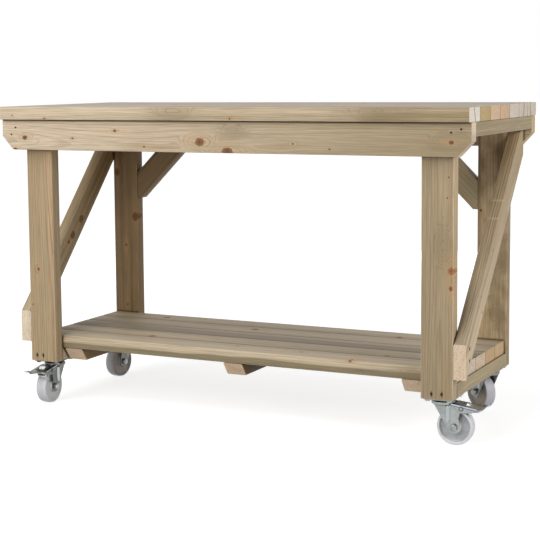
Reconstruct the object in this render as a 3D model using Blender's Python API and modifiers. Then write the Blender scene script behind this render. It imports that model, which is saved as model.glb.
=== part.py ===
"""Mobile workbench: a planed softwood frame with a seven-board top, a lower shelf, diagonal braces
and four swivel casters, the front two with toe brakes. Metres, +Z up, the floor at Z = 0,
the front of the bench faces -Y and X = 0, Y = 0 is its centre."""

import math

import bmesh
import bpy
from mathutils import Matrix, Vector

# Timber: one planed section for the frame and the boards, a smaller one for the braces.
TIMBER_WIDTH = 0.089
TIMBER_THICKNESS = 0.038
BRACE_WIDTH = 0.070
BRACE_THICKNESS = 0.035
BEARER_WIDTH = 0.060
ARRIS_RADIUS = 0.003
ARRIS_SEGMENTS = 2

# The whole bench.
BENCH_LENGTH = 1.450
BENCH_HEIGHT = 0.900
TOP_BOARDS = 7
SHELF_BOARDS = 5
BOARD_GAP = 0.002
SEAT_GAP = 0.0003

# Where the frame's pieces sit.
TOP_END_SETBACK = 0.0015
LEG_SET_IN = 0.058
SHELF_END_SETBACK = 0.006
APRON_CHAMFER_RUN = 0.037
APRON_CHAMFER_RISE = 0.040
BRACE_ANGLE = math.radians(47.2)
BRACE_FACE_SETBACK = 0.002
BRACE_FOOT_RISE = 0.057
BRACE_CENTRE_RISE = 0.008
KNEE_DROP = 0.189
KNEE_NOSE = 0.084
BEARER_RAIL_GAP = 0.008
BEARER_BEVEL = 0.028

# Casters.
CASTER_HEIGHT = 0.130
WHEEL_RADIUS = 0.050
WHEEL_WIDTH = 0.032
WHEEL_EDGE = 0.004
RIM_INNER_RADIUS = 0.0415
WEB_HALF = 0.009
HUB_RADIUS = 0.0175
HUB_DRAFT = 0.003
TRAIL = 0.035
FORK_GAP = 0.040
FORK_SHEET = 0.0025
FORK_BOSS = 0.017
FORK_NECK = 0.62
BOSS_START = 207
FORK_BEAD_REACH = 0.018
FORK_BEAD_WIDTH = 0.012
FORK_BEAD_HEIGHT = 0.002
CROWN_RADIUS = 0.032
CROWN_SHEET = 0.0035
CROWN_RIM_HEIGHT = 0.0055
CROWN_RIM_WIDTH = 0.003
PLATE_LENGTH = 0.104
PLATE_WIDTH = 0.084
PLATE_SHEET = 0.003
PLATE_CORNER = 0.008
PLATE_INSET = 0.006
DISH_DEPTH = 0.0147
DISH_FLOOR_RADIUS = 0.020
DISH_MOUTH_RADIUS = 0.027
PLATE_BOLT_X = 0.031
PLATE_BOLT_Y = 0.040
BOLT_HEAD_FLATS = 0.013
BOLT_HEAD_HEIGHT = 0.0053
KINGPIN_RADIUS = 0.006
KINGPIN_HEAD_RADIUS = 0.011
KINGPIN_HEAD_HEIGHT = 0.0045
AXLE_RADIUS = 0.005
AXLE_TUBE_WALL = 0.0025
AXLE_HEX_FLATS = 0.017
AXLE_HEAD_HEIGHT = 0.0064
AXLE_NUT_HEIGHT = 0.008
AXLE_END_PROUD = 0.0015
RUNNING_GAP = 0.00008
SIDE_PLAY = 0.0006

# Toe brake.
PIVOT_REACH = 0.055
PIVOT_HEIGHT = 0.103
PIVOT_RADIUS = 0.003
EAR_RADIUS = 0.0065
SKIRT_RADIUS = 0.012
SKIRT_ROOT_REACH = 0.027
SKIRT_ROOT_DEPTH = 0.005
PEDAL_SHEET = 0.002
PEDAL_ROOT_REACH = 0.036
PEDAL_TIP_REACH = 0.108
PEDAL_ROOT_RISE = 0.0115
PEDAL_TIP_RISE = 0.001
TREAD_OVERHANG = 0.0005
PEDAL_LIP_LENGTH = 0.009
PEDAL_LIP_HEM = 0.0003
PEDAL_LIP_WIDTH = 0.072
PEDAL_LIP_ANGLE = math.radians(24)
TAB_REACH = 0.064
TAB_LENGTH = 0.016
TAB_HEIGHT = 0.005
TAB_WIDTH = 0.019
PAD_REACH = 0.0718
PAD_CLEARANCE = 0.0043
PAD_HALF_LENGTH = 0.015
PAD_THICKNESS = 0.006
RIVET_HEAD_RADIUS = 0.005
RIVET_HEAD_HEIGHT = 0.0018

# Each caster: corner signs, the way the wheel trails in plan, and whether it has a brake.
CASTERS = (
    ("front_left", -1, -1, math.radians(-87.5), True),
    ("front_right", 1, -1, math.radians(3), True),
    ("rear_left", -1, 1, math.radians(-97), False),
    ("rear_right", 1, 1, math.radians(144), False),
)

# Sizes that follow from the ones above.
FRAME_BOTTOM = CASTER_HEIGHT
TOP_UNDERSIDE = BENCH_HEIGHT - TIMBER_THICKNESS
RAIL_UNDERSIDE = TOP_UNDERSIDE - SEAT_GAP - TIMBER_THICKNESS
SHELF_UNDERSIDE = FRAME_BOTTOM + TIMBER_THICKNESS + SEAT_GAP
SHELF_HALF_DEPTH = (SHELF_BOARDS * TIMBER_WIDTH + (SHELF_BOARDS - 1) * BOARD_GAP) / 2
TOP_HALF_DEPTH = (TOP_BOARDS * TIMBER_WIDTH + (TOP_BOARDS - 1) * BOARD_GAP) / 2
LEG_INNER_Y = SHELF_HALF_DEPTH + SEAT_GAP
LEG_OUTER_Y = LEG_INNER_Y + TIMBER_THICKNESS
APRON_INNER_Y = LEG_OUTER_Y + SEAT_GAP
APRON_OUTER_Y = APRON_INNER_Y + TIMBER_THICKNESS
HALF_LENGTH = BENCH_LENGTH / 2
LEG_OUTER_X = HALF_LENGTH - LEG_SET_IN
LEG_INNER_X = LEG_OUTER_X - TIMBER_WIDTH
LEG_CENTRE_X = LEG_OUTER_X - TIMBER_WIDTH / 2
PLATE_TOP = CASTER_HEIGHT - SEAT_GAP
PLATE_UNDERSIDE = PLATE_TOP - PLATE_SHEET
DISH_UNDERSIDE = PLATE_UNDERSIDE - DISH_DEPTH
CROWN_TOP = DISH_UNDERSIDE - SEAT_GAP
CROWN_UNDERSIDE = CROWN_TOP - CROWN_SHEET
FORK_INNER = FORK_GAP / 2
FORK_OUTER = FORK_INNER + FORK_SHEET
PEDAL_INNER = FORK_OUTER + SIDE_PLAY
PEDAL_OUTER = PEDAL_INNER + PEDAL_SHEET
AXLE_HOLE_RADIUS = AXLE_RADIUS + SEAT_GAP
TUBE_RADIUS = AXLE_HOLE_RADIUS + AXLE_TUBE_WALL
HUB_HALF = FORK_INNER - SIDE_PLAY
CASTER_Y = LEG_OUTER_Y - PLATE_INSET - PLATE_LENGTH / 2

ROUND_STEPS = 24
WHEEL_STEPS = 32
SMALL_STEPS = 12

X = Vector((1, 0, 0))
Y = Vector((0, 1, 0))
Z = Vector((0, 0, 1))


def clear_scene():
    for item in list(bpy.data.objects):
        bpy.data.objects.remove(item, do_unlink=True)


def new_collection(name):
    group = bpy.data.collections.new(name)
    bpy.context.scene.collection.children.link(group)
    return group


def new_material(name, colour, roughness, metallic):
    material = bpy.data.materials.new(name)
    material.use_nodes = True
    shader = material.node_tree.nodes["Principled BSDF"]
    shader.inputs["Base Color"].default_value = (*colour, 1.0)
    shader.inputs["Roughness"].default_value = roughness
    shader.inputs["Metallic"].default_value = metallic
    material.diffuse_color = (*colour, 1.0)
    return material


clear_scene()
PARTS = new_collection("mobile_workbench")
CUTTERS = new_collection("cutters")
WOOD = new_material("planed_softwood", (0.50, 0.37, 0.22), 0.65, 0.0)
BOARD_WOOD = new_material("planed_softwood_boards", (0.47, 0.37, 0.26), 0.65, 0.0)
ZINC = new_material("zinc_plated_steel", (0.62, 0.64, 0.66), 0.32, 0.9)
NYLON = new_material("white_nylon", (0.78, 0.78, 0.80), 0.45, 0.0)


def add_object(name, mesh, material, group, smooth=False):
    item = bpy.data.objects.new(name, mesh)
    group.objects.link(item)
    if material is not None:
        mesh.materials.append(material)
    if smooth:
        mesh.shade_smooth()
    if group is CUTTERS:
        item.hide_render = True
        item.display_type = "WIRE"
    return item


def mesh_from(shape, name):
    bmesh.ops.recalc_face_normals(shape, faces=shape.faces)
    mesh = bpy.data.meshes.new(name)
    shape.to_mesh(mesh)
    shape.free()
    return mesh


def box_shape(size):
    shape = bmesh.new()
    bmesh.ops.create_cube(shape, size=1.0)
    bmesh.ops.scale(shape, vec=size, verts=shape.verts)
    return shape


def edges_along(shape, axis):
    found = []
    for edge in shape.edges:
        direction = (edge.verts[1].co - edge.verts[0].co).normalized()
        if abs(direction.dot(axis)) > 0.99:
            found.append(edge)
    return found


def saw(shape, point, normal):
    """Cut away what lies beyond a plane and close the sawn face."""
    geometry = shape.verts[:] + shape.edges[:] + shape.faces[:]
    cut = bmesh.ops.bisect_plane(
        shape, geom=geometry, plane_co=point, plane_no=normal, clear_outer=True, dist=1e-6
    )
    rim = [part for part in cut["geom_cut"] if isinstance(part, bmesh.types.BMEdge)]
    bmesh.ops.holes_fill(shape, edges=rim, sides=0)


def timber(name, length, width, thickness, centre, along, across, cuts=(), material=WOOD):
    """A planed length of timber with eased long arrises, sawn square or along the planes in cuts."""
    turn = Matrix((along, across, along.cross(across))).transposed()
    place = Matrix.Translation(centre) @ turn.to_4x4()
    shape = box_shape((length, width, thickness))
    bmesh.ops.bevel(
        shape,
        geom=edges_along(shape, X),
        offset=ARRIS_RADIUS,
        segments=ARRIS_SEGMENTS,
        profile=0.5,
        affect="EDGES",
        clamp_overlap=True,
    )
    back = place.inverted()
    for point, normal in cuts:
        saw(shape, back @ Vector(point), turn.inverted() @ Vector(normal))
    item = add_object(name, mesh_from(shape, name), material, PARTS)
    item.location = centre
    item.rotation_euler = turn.to_euler()
    return item


def build_boards(prefix, count, half_length, underside):
    pitch = TIMBER_WIDTH + BOARD_GAP
    for index in range(count):
        centre = Vector((0, (index - (count - 1) / 2) * pitch, underside + TIMBER_THICKNESS / 2))
        timber(
            f"{prefix}_{index + 1}",
            2 * half_length,
            TIMBER_WIDTH,
            TIMBER_THICKNESS,
            centre,
            X,
            Y,
            material=BOARD_WOOD,
        )


def build_aprons():
    bottom = TOP_UNDERSIDE - SEAT_GAP - TIMBER_WIDTH
    for name, side in (("apron_front", -1), ("apron_rear", 1)):
        cuts = []
        for end in (-1, 1):
            corner = Vector((end * HALF_LENGTH, 0, bottom + APRON_CHAMFER_RISE))
            cuts.append((corner, (end * APRON_CHAMFER_RISE, 0, -APRON_CHAMFER_RUN)))
        middle_y = side * (APRON_INNER_Y + APRON_OUTER_Y) / 2
        timber(
            name,
            BENCH_LENGTH,
            TIMBER_WIDTH,
            TIMBER_THICKNESS,
            Vector((0, middle_y, bottom + TIMBER_WIDTH / 2)),
            X,
            Z,
            cuts,
        )


def build_rails():
    top_length = 2 * (APRON_INNER_Y - SEAT_GAP)
    end_x = HALF_LENGTH - TIMBER_WIDTH / 2
    for name, place in (("top_rail_left", -end_x), ("top_rail_middle", 0), ("top_rail_right", end_x)):
        centre = Vector((place, 0, RAIL_UNDERSIDE + TIMBER_THICKNESS / 2))
        timber(name, top_length, TIMBER_WIDTH, TIMBER_THICKNESS, centre, Y, X)
    for name, side in (("lower_rail_left", -1), ("lower_rail_right", 1)):
        centre = Vector((side * LEG_CENTRE_X, 0, FRAME_BOTTOM + TIMBER_THICKNESS / 2))
        timber(name, 2 * SHELF_HALF_DEPTH, TIMBER_WIDTH, TIMBER_THICKNESS, centre, Y, X)


def build_legs():
    height = RAIL_UNDERSIDE - SEAT_GAP - FRAME_BOTTOM
    for corner, side, end, _trail, _braked in CASTERS:
        centre = Vector(
            (side * LEG_CENTRE_X, end * (LEG_INNER_Y + LEG_OUTER_Y) / 2, FRAME_BOTTOM + height / 2)
        )
        timber(f"leg_{corner}", height, TIMBER_WIDTH, TIMBER_THICKNESS, centre, Z, X)


def build_side_braces():
    """Diagonals outside the legs, from the front foot up to the rear under the end rail."""
    low = FRAME_BOTTOM + BRACE_FOOT_RISE
    high = RAIL_UNDERSIDE - SEAT_GAP
    reach = LEG_OUTER_Y - BRACE_FACE_SETBACK
    along = Vector((0, math.cos(BRACE_ANGLE), math.sin(BRACE_ANGLE)))
    across = Vector((0, -math.sin(BRACE_ANGLE), math.cos(BRACE_ANGLE)))
    cuts = (
        ((0, -reach, 0), (0, -1, 0)),
        ((0, reach, 0), (0, 1, 0)),
        ((0, 0, low), (0, 0, -1)),
        ((0, 0, high), (0, 0, 1)),
    )
    middle_x = LEG_OUTER_X + SEAT_GAP + BRACE_THICKNESS / 2
    for name, side in (("side_brace_left", -1), ("side_brace_right", 1)):
        centre = Vector((side * middle_x, 0, (low + high) / 2 + BRACE_CENTRE_RISE))
        timber(name, 2 * (high - low), BRACE_WIDTH, BRACE_THICKNESS, centre, along, across, cuts)


def build_knee_braces():
    """Short braces at 45 degrees from the rear legs up to the underside of the top."""
    slope = math.sqrt(0.5)
    high = TOP_UNDERSIDE - SEAT_GAP
    heel = TOP_UNDERSIDE - KNEE_DROP
    middle_y = APRON_INNER_Y - SEAT_GAP - BRACE_THICKNESS / 2
    butt_x = LEG_INNER_X - SEAT_GAP
    for name, side in (("knee_brace_left", -1), ("knee_brace_right", 1)):
        along = Vector((-side * slope, 0, slope))
        across = Vector((side * slope, 0, slope))
        upper_corner = Vector((side * butt_x, middle_y, heel))
        centre = upper_corner - across * (BRACE_WIDTH / 2)
        cuts = (
            ((side * butt_x, 0, 0), (side, 0, 0)),
            ((0, 0, heel - KNEE_NOSE), (0, 0, -1)),
            ((0, 0, high), (0, 0, 1)),
        )
        timber(name, 4 * KNEE_DROP, BRACE_WIDTH, BRACE_THICKNESS, centre, along, across, cuts)


def build_bearers():
    """Battens under the shelf, their ends sloped back underneath."""
    side_x = LEG_INNER_X - BEARER_RAIL_GAP - BEARER_WIDTH / 2
    middle_z = SHELF_UNDERSIDE - SEAT_GAP - TIMBER_THICKNESS / 2
    top_z = middle_z + TIMBER_THICKNESS / 2
    cuts = []
    for end in (-1, 1):
        cuts.append(((0, end * SHELF_HALF_DEPTH, top_z), (0, end * TIMBER_THICKNESS, -BEARER_BEVEL)))
    places = (("shelf_bearer_left", -side_x), ("shelf_bearer_middle", 0), ("shelf_bearer_right", side_x))
    for name, place in places:
        centre = Vector((place, 0, middle_z))
        timber(name, 2 * SHELF_HALF_DEPTH, BEARER_WIDTH, TIMBER_THICKNESS, centre, Y, X, cuts)


def turned(name, profile, material, group, steps=ROUND_STEPS):
    """A body of revolution about its own Z from a closed profile of (radius, height) points."""
    mesh = bpy.data.meshes.new(name)
    count = len(profile)
    loop = [(index, (index + 1) % count) for index in range(count)]
    mesh.from_pydata([(radius, 0, height) for radius, height in profile], loop, [])
    item = add_object(name, mesh, material, group)
    screw = item.modifiers.new("turn", "SCREW")
    screw.axis = "Z"
    screw.steps = steps
    screw.render_steps = steps
    screw.use_merge_vertices = True
    screw.merge_threshold = 0.00001
    screw.use_smooth_shade = True
    return item


def prism_shape(radius, height, sides):
    shape = bmesh.new()
    bmesh.ops.create_cone(
        shape, cap_ends=True, segments=sides, radius1=radius, radius2=radius, depth=height
    )
    return shape


def prism(name, radius, height, sides, centre, axis, material, group, smooth=False):
    mesh = mesh_from(prism_shape(radius, height, sides), name)
    item = add_object(name, mesh, material, group, smooth)
    item.location = centre
    item.rotation_euler = Z.rotation_difference(axis).to_euler()
    return item


def plate_from_outline(name, outline, low, high, material, group, standing=True):
    """A flat sheet cut to an outline: in X and Z from low to high along Y when standing,
    otherwise in X and Y from low to high along Z."""
    curve = bpy.data.curves.new(name, "CURVE")
    curve.dimensions = "2D"
    curve.fill_mode = "BOTH"
    curve.extrude = (high - low) / 2
    spline = curve.splines.new("POLY")
    spline.points.add(len(outline) - 1)
    for point, (across, up) in zip(spline.points, outline):
        point.co = (across, up, 0, 1)
    spline.use_cyclic_u = True
    flat = bpy.data.objects.new(name + "_outline", curve)
    CUTTERS.objects.link(flat)
    bpy.context.view_layer.update()
    evaluated = flat.evaluated_get(bpy.context.evaluated_depsgraph_get())
    shape = bmesh.new()
    sheet = bpy.data.meshes.new_from_object(evaluated)
    shape.from_mesh(sheet)
    bmesh.ops.remove_doubles(shape, verts=shape.verts, dist=0.000001)
    bmesh.ops.translate(shape, verts=shape.verts, vec=(0, 0, (low + high) / 2))
    if standing:
        upright = Matrix(((1, 0, 0), (0, 0, 1), (0, 1, 0)))
        bmesh.ops.transform(shape, matrix=upright.to_4x4(), verts=shape.verts)
    bpy.data.meshes.remove(sheet)
    bpy.data.objects.remove(flat, do_unlink=True)
    return add_object(name, mesh_from(shape, name), material, group)


def combine(item, tool, operation):
    step = item.modifiers.new(operation.lower(), "BOOLEAN")
    step.operation = operation
    step.solver = "EXACT"
    step.object = tool


def adopt(child, parent):
    child.parent = parent


def arc(centre, radius, start, end, steps):
    points = []
    for index in range(steps + 1):
        angle = math.radians(start + (end - start) * index / steps)
        points.append((centre[0] + radius * math.cos(angle), centre[1] + radius * math.sin(angle)))
    return points


def fork_outline(braked):
    """One cheek of the fork, seen from the side: swivel at X = 0, axle at X = TRAIL."""
    neck = CROWN_RADIUS * FORK_NECK
    top = CROWN_TOP - CROWN_SHEET / 2
    outline = [(-neck, top)]
    outline += arc((TRAIL, WHEEL_RADIUS), FORK_BOSS, BOSS_START, 360, 6)
    outline.append((TRAIL + FORK_BOSS * 0.72, WHEEL_RADIUS + FORK_BOSS * 1.55))
    if braked:
        outline += arc((PIVOT_REACH, PIVOT_HEIGHT), EAR_RADIUS, -110, 62, 5)
    outline.append((neck, top))
    return outline


def build_bead(name, side):
    """A rounded bead pressed out of a cheek, from the crown down to the axle boss."""
    half = FORK_BEAD_WIDTH / 2
    radius = (half * half + FORK_BEAD_HEIGHT * FORK_BEAD_HEIGHT) / (2 * FORK_BEAD_HEIGHT)
    spread = math.degrees(math.asin(half / radius))
    middle = (FORK_BEAD_REACH, FORK_OUTER + FORK_BEAD_HEIGHT - radius)
    section = arc(middle, radius, 90 - spread, 90 + spread, 6)
    section += [(FORK_BEAD_REACH - half, FORK_OUTER - FORK_SHEET / 2)]
    section += [(FORK_BEAD_REACH + half, FORK_OUTER - FORK_SHEET / 2)]
    section = [(across, side * out) for across, out in section]
    low = WHEEL_RADIUS + FORK_BOSS * 0.75
    return plate_from_outline(name, section, low, CROWN_UNDERSIDE + CROWN_SHEET / 3, None, CUTTERS, False)


def build_fork(name, braked, hub):
    outline = fork_outline(braked)
    fork = plate_from_outline(name, outline, FORK_INNER, FORK_OUTER, ZINC, PARTS)
    other = plate_from_outline(name + "_cheek", outline, -FORK_OUTER, -FORK_INNER, None, CUTTERS)
    combine(fork, other, "UNION")
    adopt(other, hub)
    for side in (-1, 1):
        bead = build_bead(name + "_bead", side)
        combine(fork, bead, "UNION")
        adopt(bead, hub)
    bore = KINGPIN_RADIUS + RUNNING_GAP
    rim_top = CROWN_TOP + CROWN_RIM_HEIGHT
    crown = turned(
        name + "_crown",
        [
            (bore, CROWN_TOP),
            (CROWN_RADIUS - 2 * CROWN_RIM_WIDTH, CROWN_TOP),
            (CROWN_RADIUS - CROWN_RIM_WIDTH, rim_top),
            (CROWN_RADIUS, rim_top),
            (CROWN_RADIUS, CROWN_TOP - CROWN_SHEET / 3),
            (CROWN_RADIUS - CROWN_RIM_WIDTH, CROWN_UNDERSIDE),
            (bore, CROWN_UNDERSIDE),
        ],
        None,
        CUTTERS,
    )
    combine(fork, crown, "UNION")
    adopt(crown, hub)
    span = 4 * FORK_OUTER
    axle_centre = (TRAIL, 0, WHEEL_RADIUS)
    hole = prism(name + "_axle_hole", AXLE_HOLE_RADIUS, span, SMALL_STEPS, axle_centre, Y, None, CUTTERS)
    combine(fork, hole, "DIFFERENCE")
    adopt(hole, hub)
    if braked:
        place = (PIVOT_REACH, 0, PIVOT_HEIGHT)
        radius = PIVOT_RADIUS + RUNNING_GAP
        hole = prism(name + "_pivot_hole", radius, span, ROUND_STEPS, place, Y, None, CUTTERS)
        combine(fork, hole, "DIFFERENCE")
        adopt(hole, hub)
    adopt(fork, hub)


def build_plate(name, hub):
    shape = box_shape((PLATE_WIDTH, PLATE_LENGTH, PLATE_SHEET))
    bmesh.ops.bevel(
        shape,
        geom=edges_along(shape, Z),
        offset=PLATE_CORNER,
        segments=3,
        profile=0.5,
        affect="EDGES",
    )
    plate = add_object(name, mesh_from(shape, name), ZINC, PARTS)
    plate.location = (0, 0, PLATE_TOP - PLATE_SHEET / 2)
    adopt(plate, hub)
    mouth = prism(
        name + "_mouth",
        DISH_MOUTH_RADIUS - PLATE_SHEET / 2,
        4 * PLATE_SHEET,
        ROUND_STEPS,
        (0, 0, PLATE_TOP),
        Z,
        None,
        CUTTERS,
    )
    combine(plate, mouth, "DIFFERENCE")
    adopt(mouth, hub)
    dish_top = DISH_UNDERSIDE + PLATE_SHEET
    bore = KINGPIN_RADIUS + SEAT_GAP
    dish = turned(
        name + "_dish",
        [
            (bore, dish_top),
            (DISH_FLOOR_RADIUS - PLATE_SHEET / 2, dish_top),
            (DISH_MOUTH_RADIUS - PLATE_SHEET, PLATE_TOP),
            (DISH_MOUTH_RADIUS, PLATE_TOP),
            (DISH_MOUTH_RADIUS, PLATE_UNDERSIDE),
            (DISH_FLOOR_RADIUS, DISH_UNDERSIDE),
            (bore, DISH_UNDERSIDE),
        ],
        None,
        CUTTERS,
    )
    combine(plate, dish, "UNION")
    adopt(dish, hub)
    hex_radius = BOLT_HEAD_FLATS / math.sqrt(3)
    for across in (-PLATE_BOLT_X, PLATE_BOLT_X):
        for along in (-PLATE_BOLT_Y, PLATE_BOLT_Y):
            place = (across, along, PLATE_UNDERSIDE - BOLT_HEAD_HEIGHT / 2 + PLATE_SHEET / 4)
            height = BOLT_HEAD_HEIGHT + PLATE_SHEET / 2
            head = prism(name + "_bolt", hex_radius, height, 6, place, Z, None, CUTTERS)
            combine(plate, head, "UNION")
            adopt(head, hub)


def build_kingpin(name, hub):
    seat = DISH_UNDERSIDE + PLATE_SHEET + SEAT_GAP
    low = CROWN_UNDERSIDE - SEAT_GAP
    chamfer = KINGPIN_HEAD_HEIGHT / 3
    pin = turned(
        name,
        [
            (0, seat + KINGPIN_HEAD_HEIGHT * 0.8),
            (KINGPIN_HEAD_RADIUS - chamfer, seat + KINGPIN_HEAD_HEIGHT * 0.8),
            (KINGPIN_HEAD_RADIUS, seat + KINGPIN_HEAD_HEIGHT * 0.5),
            (KINGPIN_HEAD_RADIUS, seat),
            (KINGPIN_RADIUS, seat),
            (KINGPIN_RADIUS, low),
            (KINGPIN_HEAD_RADIUS, low),
            (KINGPIN_HEAD_RADIUS, low - KINGPIN_HEAD_HEIGHT + chamfer),
            (KINGPIN_HEAD_RADIUS - chamfer, low - KINGPIN_HEAD_HEIGHT),
            (0, low - KINGPIN_HEAD_HEIGHT),
        ],
        ZINC,
        PARTS,
        ROUND_STEPS,
    )
    adopt(pin, hub)


def mirrored(half):
    """A profile's points from its middle outwards, repeated below the middle plane."""
    lower = [(radius, -height) for radius, height in half]
    return half[::-1] + lower


def build_wheel(name, hub):
    half_width = WHEEL_WIDTH / 2
    bore = TUBE_RADIUS + RUNNING_GAP
    upper = [
        (WHEEL_RADIUS, half_width - WHEEL_EDGE),
        (WHEEL_RADIUS - WHEEL_EDGE * 0.3, half_width - WHEEL_EDGE * 0.3),
        (WHEEL_RADIUS - WHEEL_EDGE, half_width),
        (RIM_INNER_RADIUS, half_width),
        (RIM_INNER_RADIUS - HUB_DRAFT, WEB_HALF),
        (HUB_RADIUS + HUB_DRAFT, WEB_HALF),
        (HUB_RADIUS, HUB_HALF),
        (bore, HUB_HALF),
    ]
    wheel = turned(name, mirrored(upper), NYLON, PARTS, WHEEL_STEPS)
    wheel.location = (TRAIL, 0, WHEEL_RADIUS)
    wheel.rotation_euler = (math.pi / 2, 0, 0)
    adopt(wheel, hub)


def build_axle(prefix, hub):
    centre = Vector((TRAIL, 0, WHEEL_RADIUS))
    half = FORK_INNER - SEAT_GAP
    tube = turned(
        prefix + "_axle_tube",
        [
            (TUBE_RADIUS, half),
            (TUBE_RADIUS, -half),
            (AXLE_HOLE_RADIUS, -half),
            (AXLE_HOLE_RADIUS, half),
        ],
        ZINC,
        PARTS,
        ROUND_STEPS,
    )
    tube.location = centre
    tube.rotation_euler = (math.pi / 2, 0, 0)
    adopt(tube, hub)
    hex_radius = AXLE_HEX_FLATS / math.sqrt(3)
    face = FORK_OUTER + SEAT_GAP
    bolt = prism(
        prefix + "_axle_bolt",
        hex_radius,
        AXLE_HEAD_HEIGHT,
        6,
        centre - Y * (face + AXLE_HEAD_HEIGHT / 2),
        Y,
        ZINC,
        PARTS,
    )
    shank_end = face + AXLE_NUT_HEIGHT + AXLE_END_PROUD
    shank_start = -face - AXLE_HEAD_HEIGHT / 2
    shank = prism(
        prefix + "_axle_shank",
        AXLE_RADIUS,
        shank_end - shank_start,
        SMALL_STEPS,
        centre + Y * (shank_end + shank_start) / 2,
        Y,
        None,
        CUTTERS,
    )
    combine(bolt, shank, "UNION")
    adopt(shank, hub)
    adopt(bolt, hub)
    nut_centre = centre + Y * (face + AXLE_NUT_HEIGHT / 2)
    nut = prism(prefix + "_axle_nut", hex_radius, AXLE_NUT_HEIGHT, 6, nut_centre, Y, ZINC, PARTS)
    bore = prism(
        prefix + "_nut_bore", AXLE_HOLE_RADIUS, 3 * AXLE_NUT_HEIGHT, SMALL_STEPS, nut_centre, Y, None, CUTTERS
    )
    combine(nut, bore, "DIFFERENCE")
    adopt(bore, hub)
    adopt(nut, hub)


def pedal_top(reach):
    """Height of the pedal's upper face above the pivot's axis at a distance from the swivel."""
    share = (reach - PEDAL_ROOT_REACH) / (PEDAL_TIP_REACH - PEDAL_ROOT_REACH)
    return PEDAL_ROOT_RISE + share * (PEDAL_TIP_RISE - PEDAL_ROOT_RISE)


def pedal_tread_outline():
    """The tread's section along its length."""
    root = PEDAL_ROOT_REACH - PIVOT_REACH
    tip = PEDAL_TIP_REACH - PIVOT_REACH
    return [
        (root, PEDAL_ROOT_RISE),
        (root, PEDAL_ROOT_RISE - PEDAL_SHEET),
        (tip, PEDAL_TIP_RISE - PEDAL_SHEET),
        (tip, PEDAL_TIP_RISE),
    ]


def pedal_lip_outline():
    """The section of the turned-up lip, whose hem closes round the tread's tip."""
    tip = PEDAL_TIP_REACH - PIVOT_REACH
    root_rise = pedal_top(PEDAL_TIP_REACH - PEDAL_LIP_LENGTH)
    end = tip + PEDAL_LIP_LENGTH * math.cos(PEDAL_LIP_ANGLE)
    end_rise = PEDAL_TIP_RISE + PEDAL_LIP_LENGTH * math.sin(PEDAL_LIP_ANGLE)
    line = [(tip - PEDAL_LIP_LENGTH, root_rise), (tip, PEDAL_TIP_RISE), (end, end_rise)]
    under = [(x, z - PEDAL_SHEET - PEDAL_LIP_HEM) for x, z in line]
    over = [(x, z + PEDAL_LIP_HEM) for x, z in line]
    return under + over[::-1]


def pedal_skirt_outline():
    """The side skirt that hangs from the tread and carries the pivot."""
    root = SKIRT_ROOT_REACH - PIVOT_REACH
    tip = PEDAL_TIP_REACH - PIVOT_REACH
    sheet = PEDAL_SHEET / 2
    top = pedal_top(SKIRT_ROOT_REACH) - sheet
    skirt = [(root, top), (root, top - SKIRT_ROOT_DEPTH)]
    skirt += arc((0, 0), SKIRT_RADIUS, 205, 290, 4)
    skirt.append((PAD_REACH - PIVOT_REACH, -SKIRT_RADIUS * 0.9))
    skirt.append((tip - PEDAL_LIP_LENGTH / 2, -SKIRT_RADIUS * 0.5))
    skirt.append((tip, PEDAL_TIP_RISE - sheet))
    return skirt


def pedal_tab_outline():
    """The raised tab across the middle of the tread, sloping down towards the lip."""
    start = TAB_REACH - PIVOT_REACH
    sheet = PEDAL_SHEET / 2
    crest = pedal_top(TAB_REACH) + TAB_HEIGHT
    return [
        (start, pedal_top(TAB_REACH) - sheet),
        (start + TAB_LENGTH, pedal_top(TAB_REACH + TAB_LENGTH) - sheet),
        (start + TAB_LENGTH * 0.4, crest),
        (start + TAB_LENGTH * 0.15, crest),
    ]


def pad_outline():
    """The brake shoe under the tread, its face square to the wheel's rim."""
    reach = PAD_REACH - TRAIL
    rim = WHEEL_RADIUS + PAD_CLEARANCE
    rise = math.sqrt(rim * rim - reach * reach)
    out = Vector((reach, rise)) / rim
    side = Vector((out.y, -out.x))
    face = Vector((PAD_REACH - PIVOT_REACH, WHEEL_RADIUS + rise - PIVOT_HEIGHT))
    low = face + side * PAD_THICKNESS
    high = face - side * PAD_THICKNESS
    roof = pedal_top(PAD_REACH) - PEDAL_SHEET / 2
    return [
        (low.x, low.y),
        (low.x + out.x * PAD_THICKNESS, roof),
        (high.x, roof),
        (high.x, high.y),
    ]


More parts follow.
